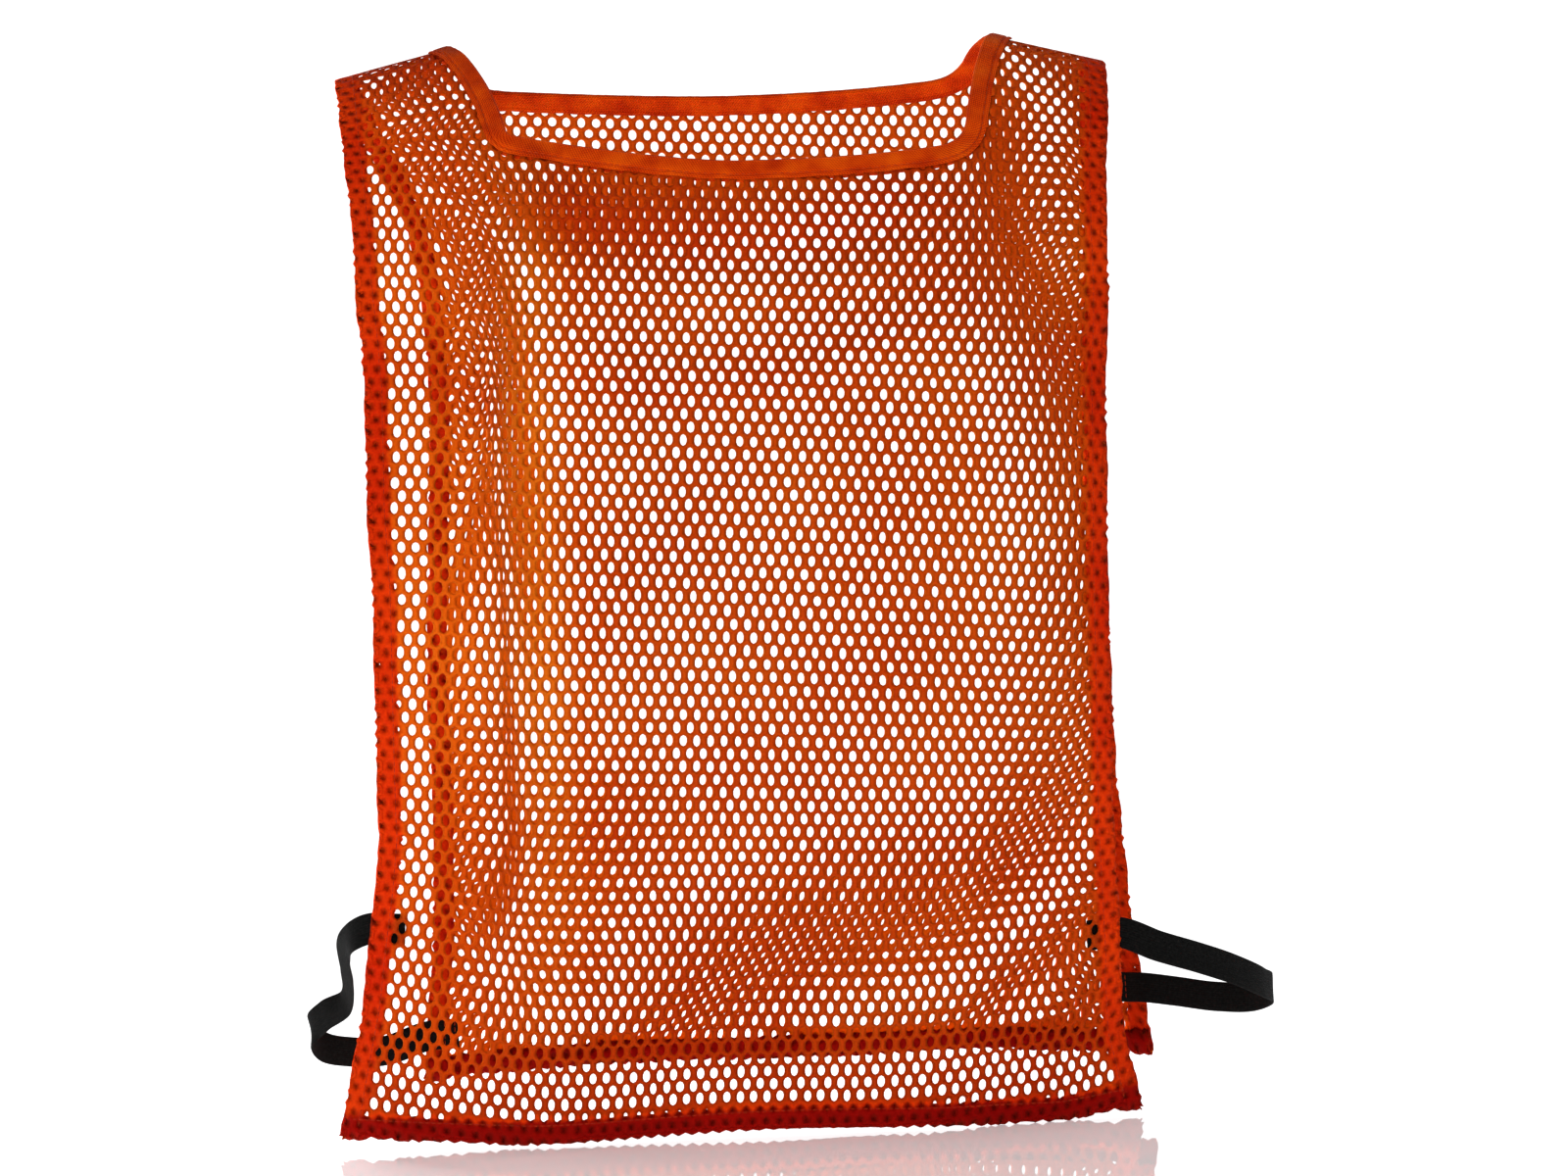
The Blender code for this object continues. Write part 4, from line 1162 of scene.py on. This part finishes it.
def build_panel(panel, strap_at, mesh_cloth, tape, thread):
    """A panel's knit with its hems, neck tape, stitches and bartacks."""
    side = panel.name
    made = add_knit(panel, mesh_cloth)
    for name, piece in made.items():
        finish_piece(piece, side, f"{side}_{name}")
    finish_piece(add_tape(panel, tape), side, f"{side}_neck_binding")
    for hand, sign in SIGN.items():
        vs = np.arange(0.004, PANEL_LENGTH - 0.003, SEW_STEP)
        us = sign * (edge_half(vs) - HEM_WIDTH + HEM_STITCH_INSET)
        sew(panel, f"{side}_{hand}_hem", us, vs, SEWN, thread)
        add_bartack(panel, hand, strap_at[hand], thread)
    us = np.arange(-BOTTOM_STITCH_HALF, BOTTOM_STITCH_HALF + SEW_STEP / 2, SEW_STEP)
    vs = np.full(len(us), PANEL_LENGTH - BOTTOM_HEM + HEM_STITCH_INSET)
    sew(panel, f"{side}_bottom_hem", us, vs, SEWN, thread)
    line = neck_line(panel.neck)
    place = line + into_cloth(line) * (TAPE_GROOVE + TAPE_STITCH_INSET)
    place[:, 1] = np.maximum(place[:, 1], 0.0004)
    sew(panel, f"{side}_neck", place[:, 0], place[:, 1], TAPE_OUTER - 0.00022, thread)
    return made["panel"]


front = Panel("front", drape_front, 1.0, FRONT_NECK, FRONT_LEAN, FRONT_LEAN_SHARE)
back = Panel("back", drape_back, -1.0, BACK_NECK, BACK_LEAN, BACK_LEAN_SHARE, BACK_SHIFT, BACK_WIDER,
             back_longer)
mesh_cloth, tape = cloth_material(), tape_material()
elastic, thread = elastic_material(), thread_material()
sheets = [build_panel(front, FRONT_STRAP_AT, mesh_cloth, tape, thread),
          build_panel(back, BACK_STRAP_AT, mesh_cloth, tape, thread)]
for hand, free in (("left", LEFT_STRAP_FREE), ("right", RIGHT_STRAP_FREE)):
    add_strap(hand, free, elastic)
    add_seam(hand, mesh_cloth)
    us = SIGN[hand] * np.arange(NECK_TOP_HALF + 0.011, EDGE_HALF[0], SEW_STEP)
    sew(back, f"{hand}_shoulder", us, np.full(len(us), 0.0045), SEWN, thread)


# ------------------ stage, lights, camera
def add_stage():
    """A round glossy table that fades into the white backdrop towards its rim."""
    turns = [2 * math.pi * k / FLOOR_SIDES for k in range(FLOOR_SIDES)]
    ring = [(FLOOR_RADIUS * math.cos(a), FLOOR_RADIUS * math.sin(a), 0.0) for a in turns]
    material, tree, shader = principled(
        "glossy_white_table", Base_Color=(0.93, 0.93, 0.94, 1.0), Roughness=0.015,
        Specular_IOR_Level=0.6, Emission_Color=(1.0, 1.0, 1.0, 1.0), Emission_Strength=FLOOR_GLOW)
    mesh = bpy.data.meshes.new("studio_floor")
    mesh.from_pydata(ring, [], [tuple(range(FLOOR_SIDES))])
    mesh.materials.append(material)
    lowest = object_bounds()[0][2]
    floor = add_object("studio_floor", mesh)
    floor.location = (0.0, 0.0, lowest - FLOOR_BELOW - LOWEST_X * math.tan(FLOOR_TILT))
    floor.rotation_euler = (0.0, -FLOOR_TILT, 0.0)
    place = node(tree, "ShaderNodeTexCoord").outputs["Object"]
    reach = node(tree, "ShaderNodeVectorMath", operation="LENGTH")
    tree.links.new(place, reach.inputs[0])
    fade = node(tree, "ShaderNodeMapRange", interpolation_type="SMOOTHSTEP",
                **{"From Min": FLOOR_FADE_FROM, "From Max": FLOOR_RADIUS, "Value": reach.outputs["Value"]})
    clear = node(tree, "ShaderNodeBsdfTransparent")
    mix_shaders(tree, fade.outputs["Result"], shader, clear, "Material Output")


def add_light(name, place, aim, size, power):
    """A square softbox that neither the camera nor the glossy table shows."""
    data = bpy.data.lights.new(name, "AREA")
    data.shape, data.size, data.energy = "SQUARE", size, power
    light = add_object(name, data)
    light.location = place
    light.visible_camera = False
    light.visible_glossy = False
    light.rotation_euler = (Vector(aim) - Vector(place)).to_track_quat("-Z", "Y").to_euler()


def add_world():
    """A white backdrop behind the vest and a dimmer room in front of it.

    The camera sees plain white all round.
    """
    world = bpy.data.worlds.new("white_studio")
    world.use_nodes = True
    tree = world.node_tree
    seen = tree.nodes["Background"]
    seen.inputs["Color"].default_value = (1.0, 1.0, 1.0, 1.0)
    direction = node(tree, "ShaderNodeTexCoord").outputs["Generated"]
    parts = node(tree, "ShaderNodeSeparateXYZ", Vector=direction)
    rearward = node(tree, "ShaderNodeMapRange", interpolation_type="SMOOTHSTEP",
                    **{"From Min": -0.1, "From Max": 0.5, "To Min": ROOM, "To Max": BACKDROP,
                       "Value": parts.outputs["Y"]})
    lighting = node(tree, "ShaderNodeBackground", Color=(0.98, 0.99, 1.0, 1.0),
                    Strength=rearward.outputs["Result"])
    from_camera = node(tree, "ShaderNodeLightPath").outputs["Is Camera Ray"]
    mix_shaders(tree, from_camera, lighting, seen, "World Output")
    bpy.context.scene.world = world


def add_camera():
    """A long lens at the height of the vest's middle, rolled a little."""
    data = bpy.data.cameras.new("camera")
    data.sensor_width, data.lens = SENSOR, LENS
    data.clip_start, data.clip_end = 0.1, 60.0
    camera = add_object("camera", data)
    camera.location = CAMERA_PLACE
    camera.rotation_euler = (math.radians(90.0), CAMERA_ROLL, 0.0)
    bpy.context.scene.camera = camera


add_stage()
add_world()
for softbox in SOFTBOXES:
    add_light(*softbox)
add_camera()
settings = bpy.context.scene.view_settings
settings.view_transform = "Standard"
settings.look = "Medium High Contrast"
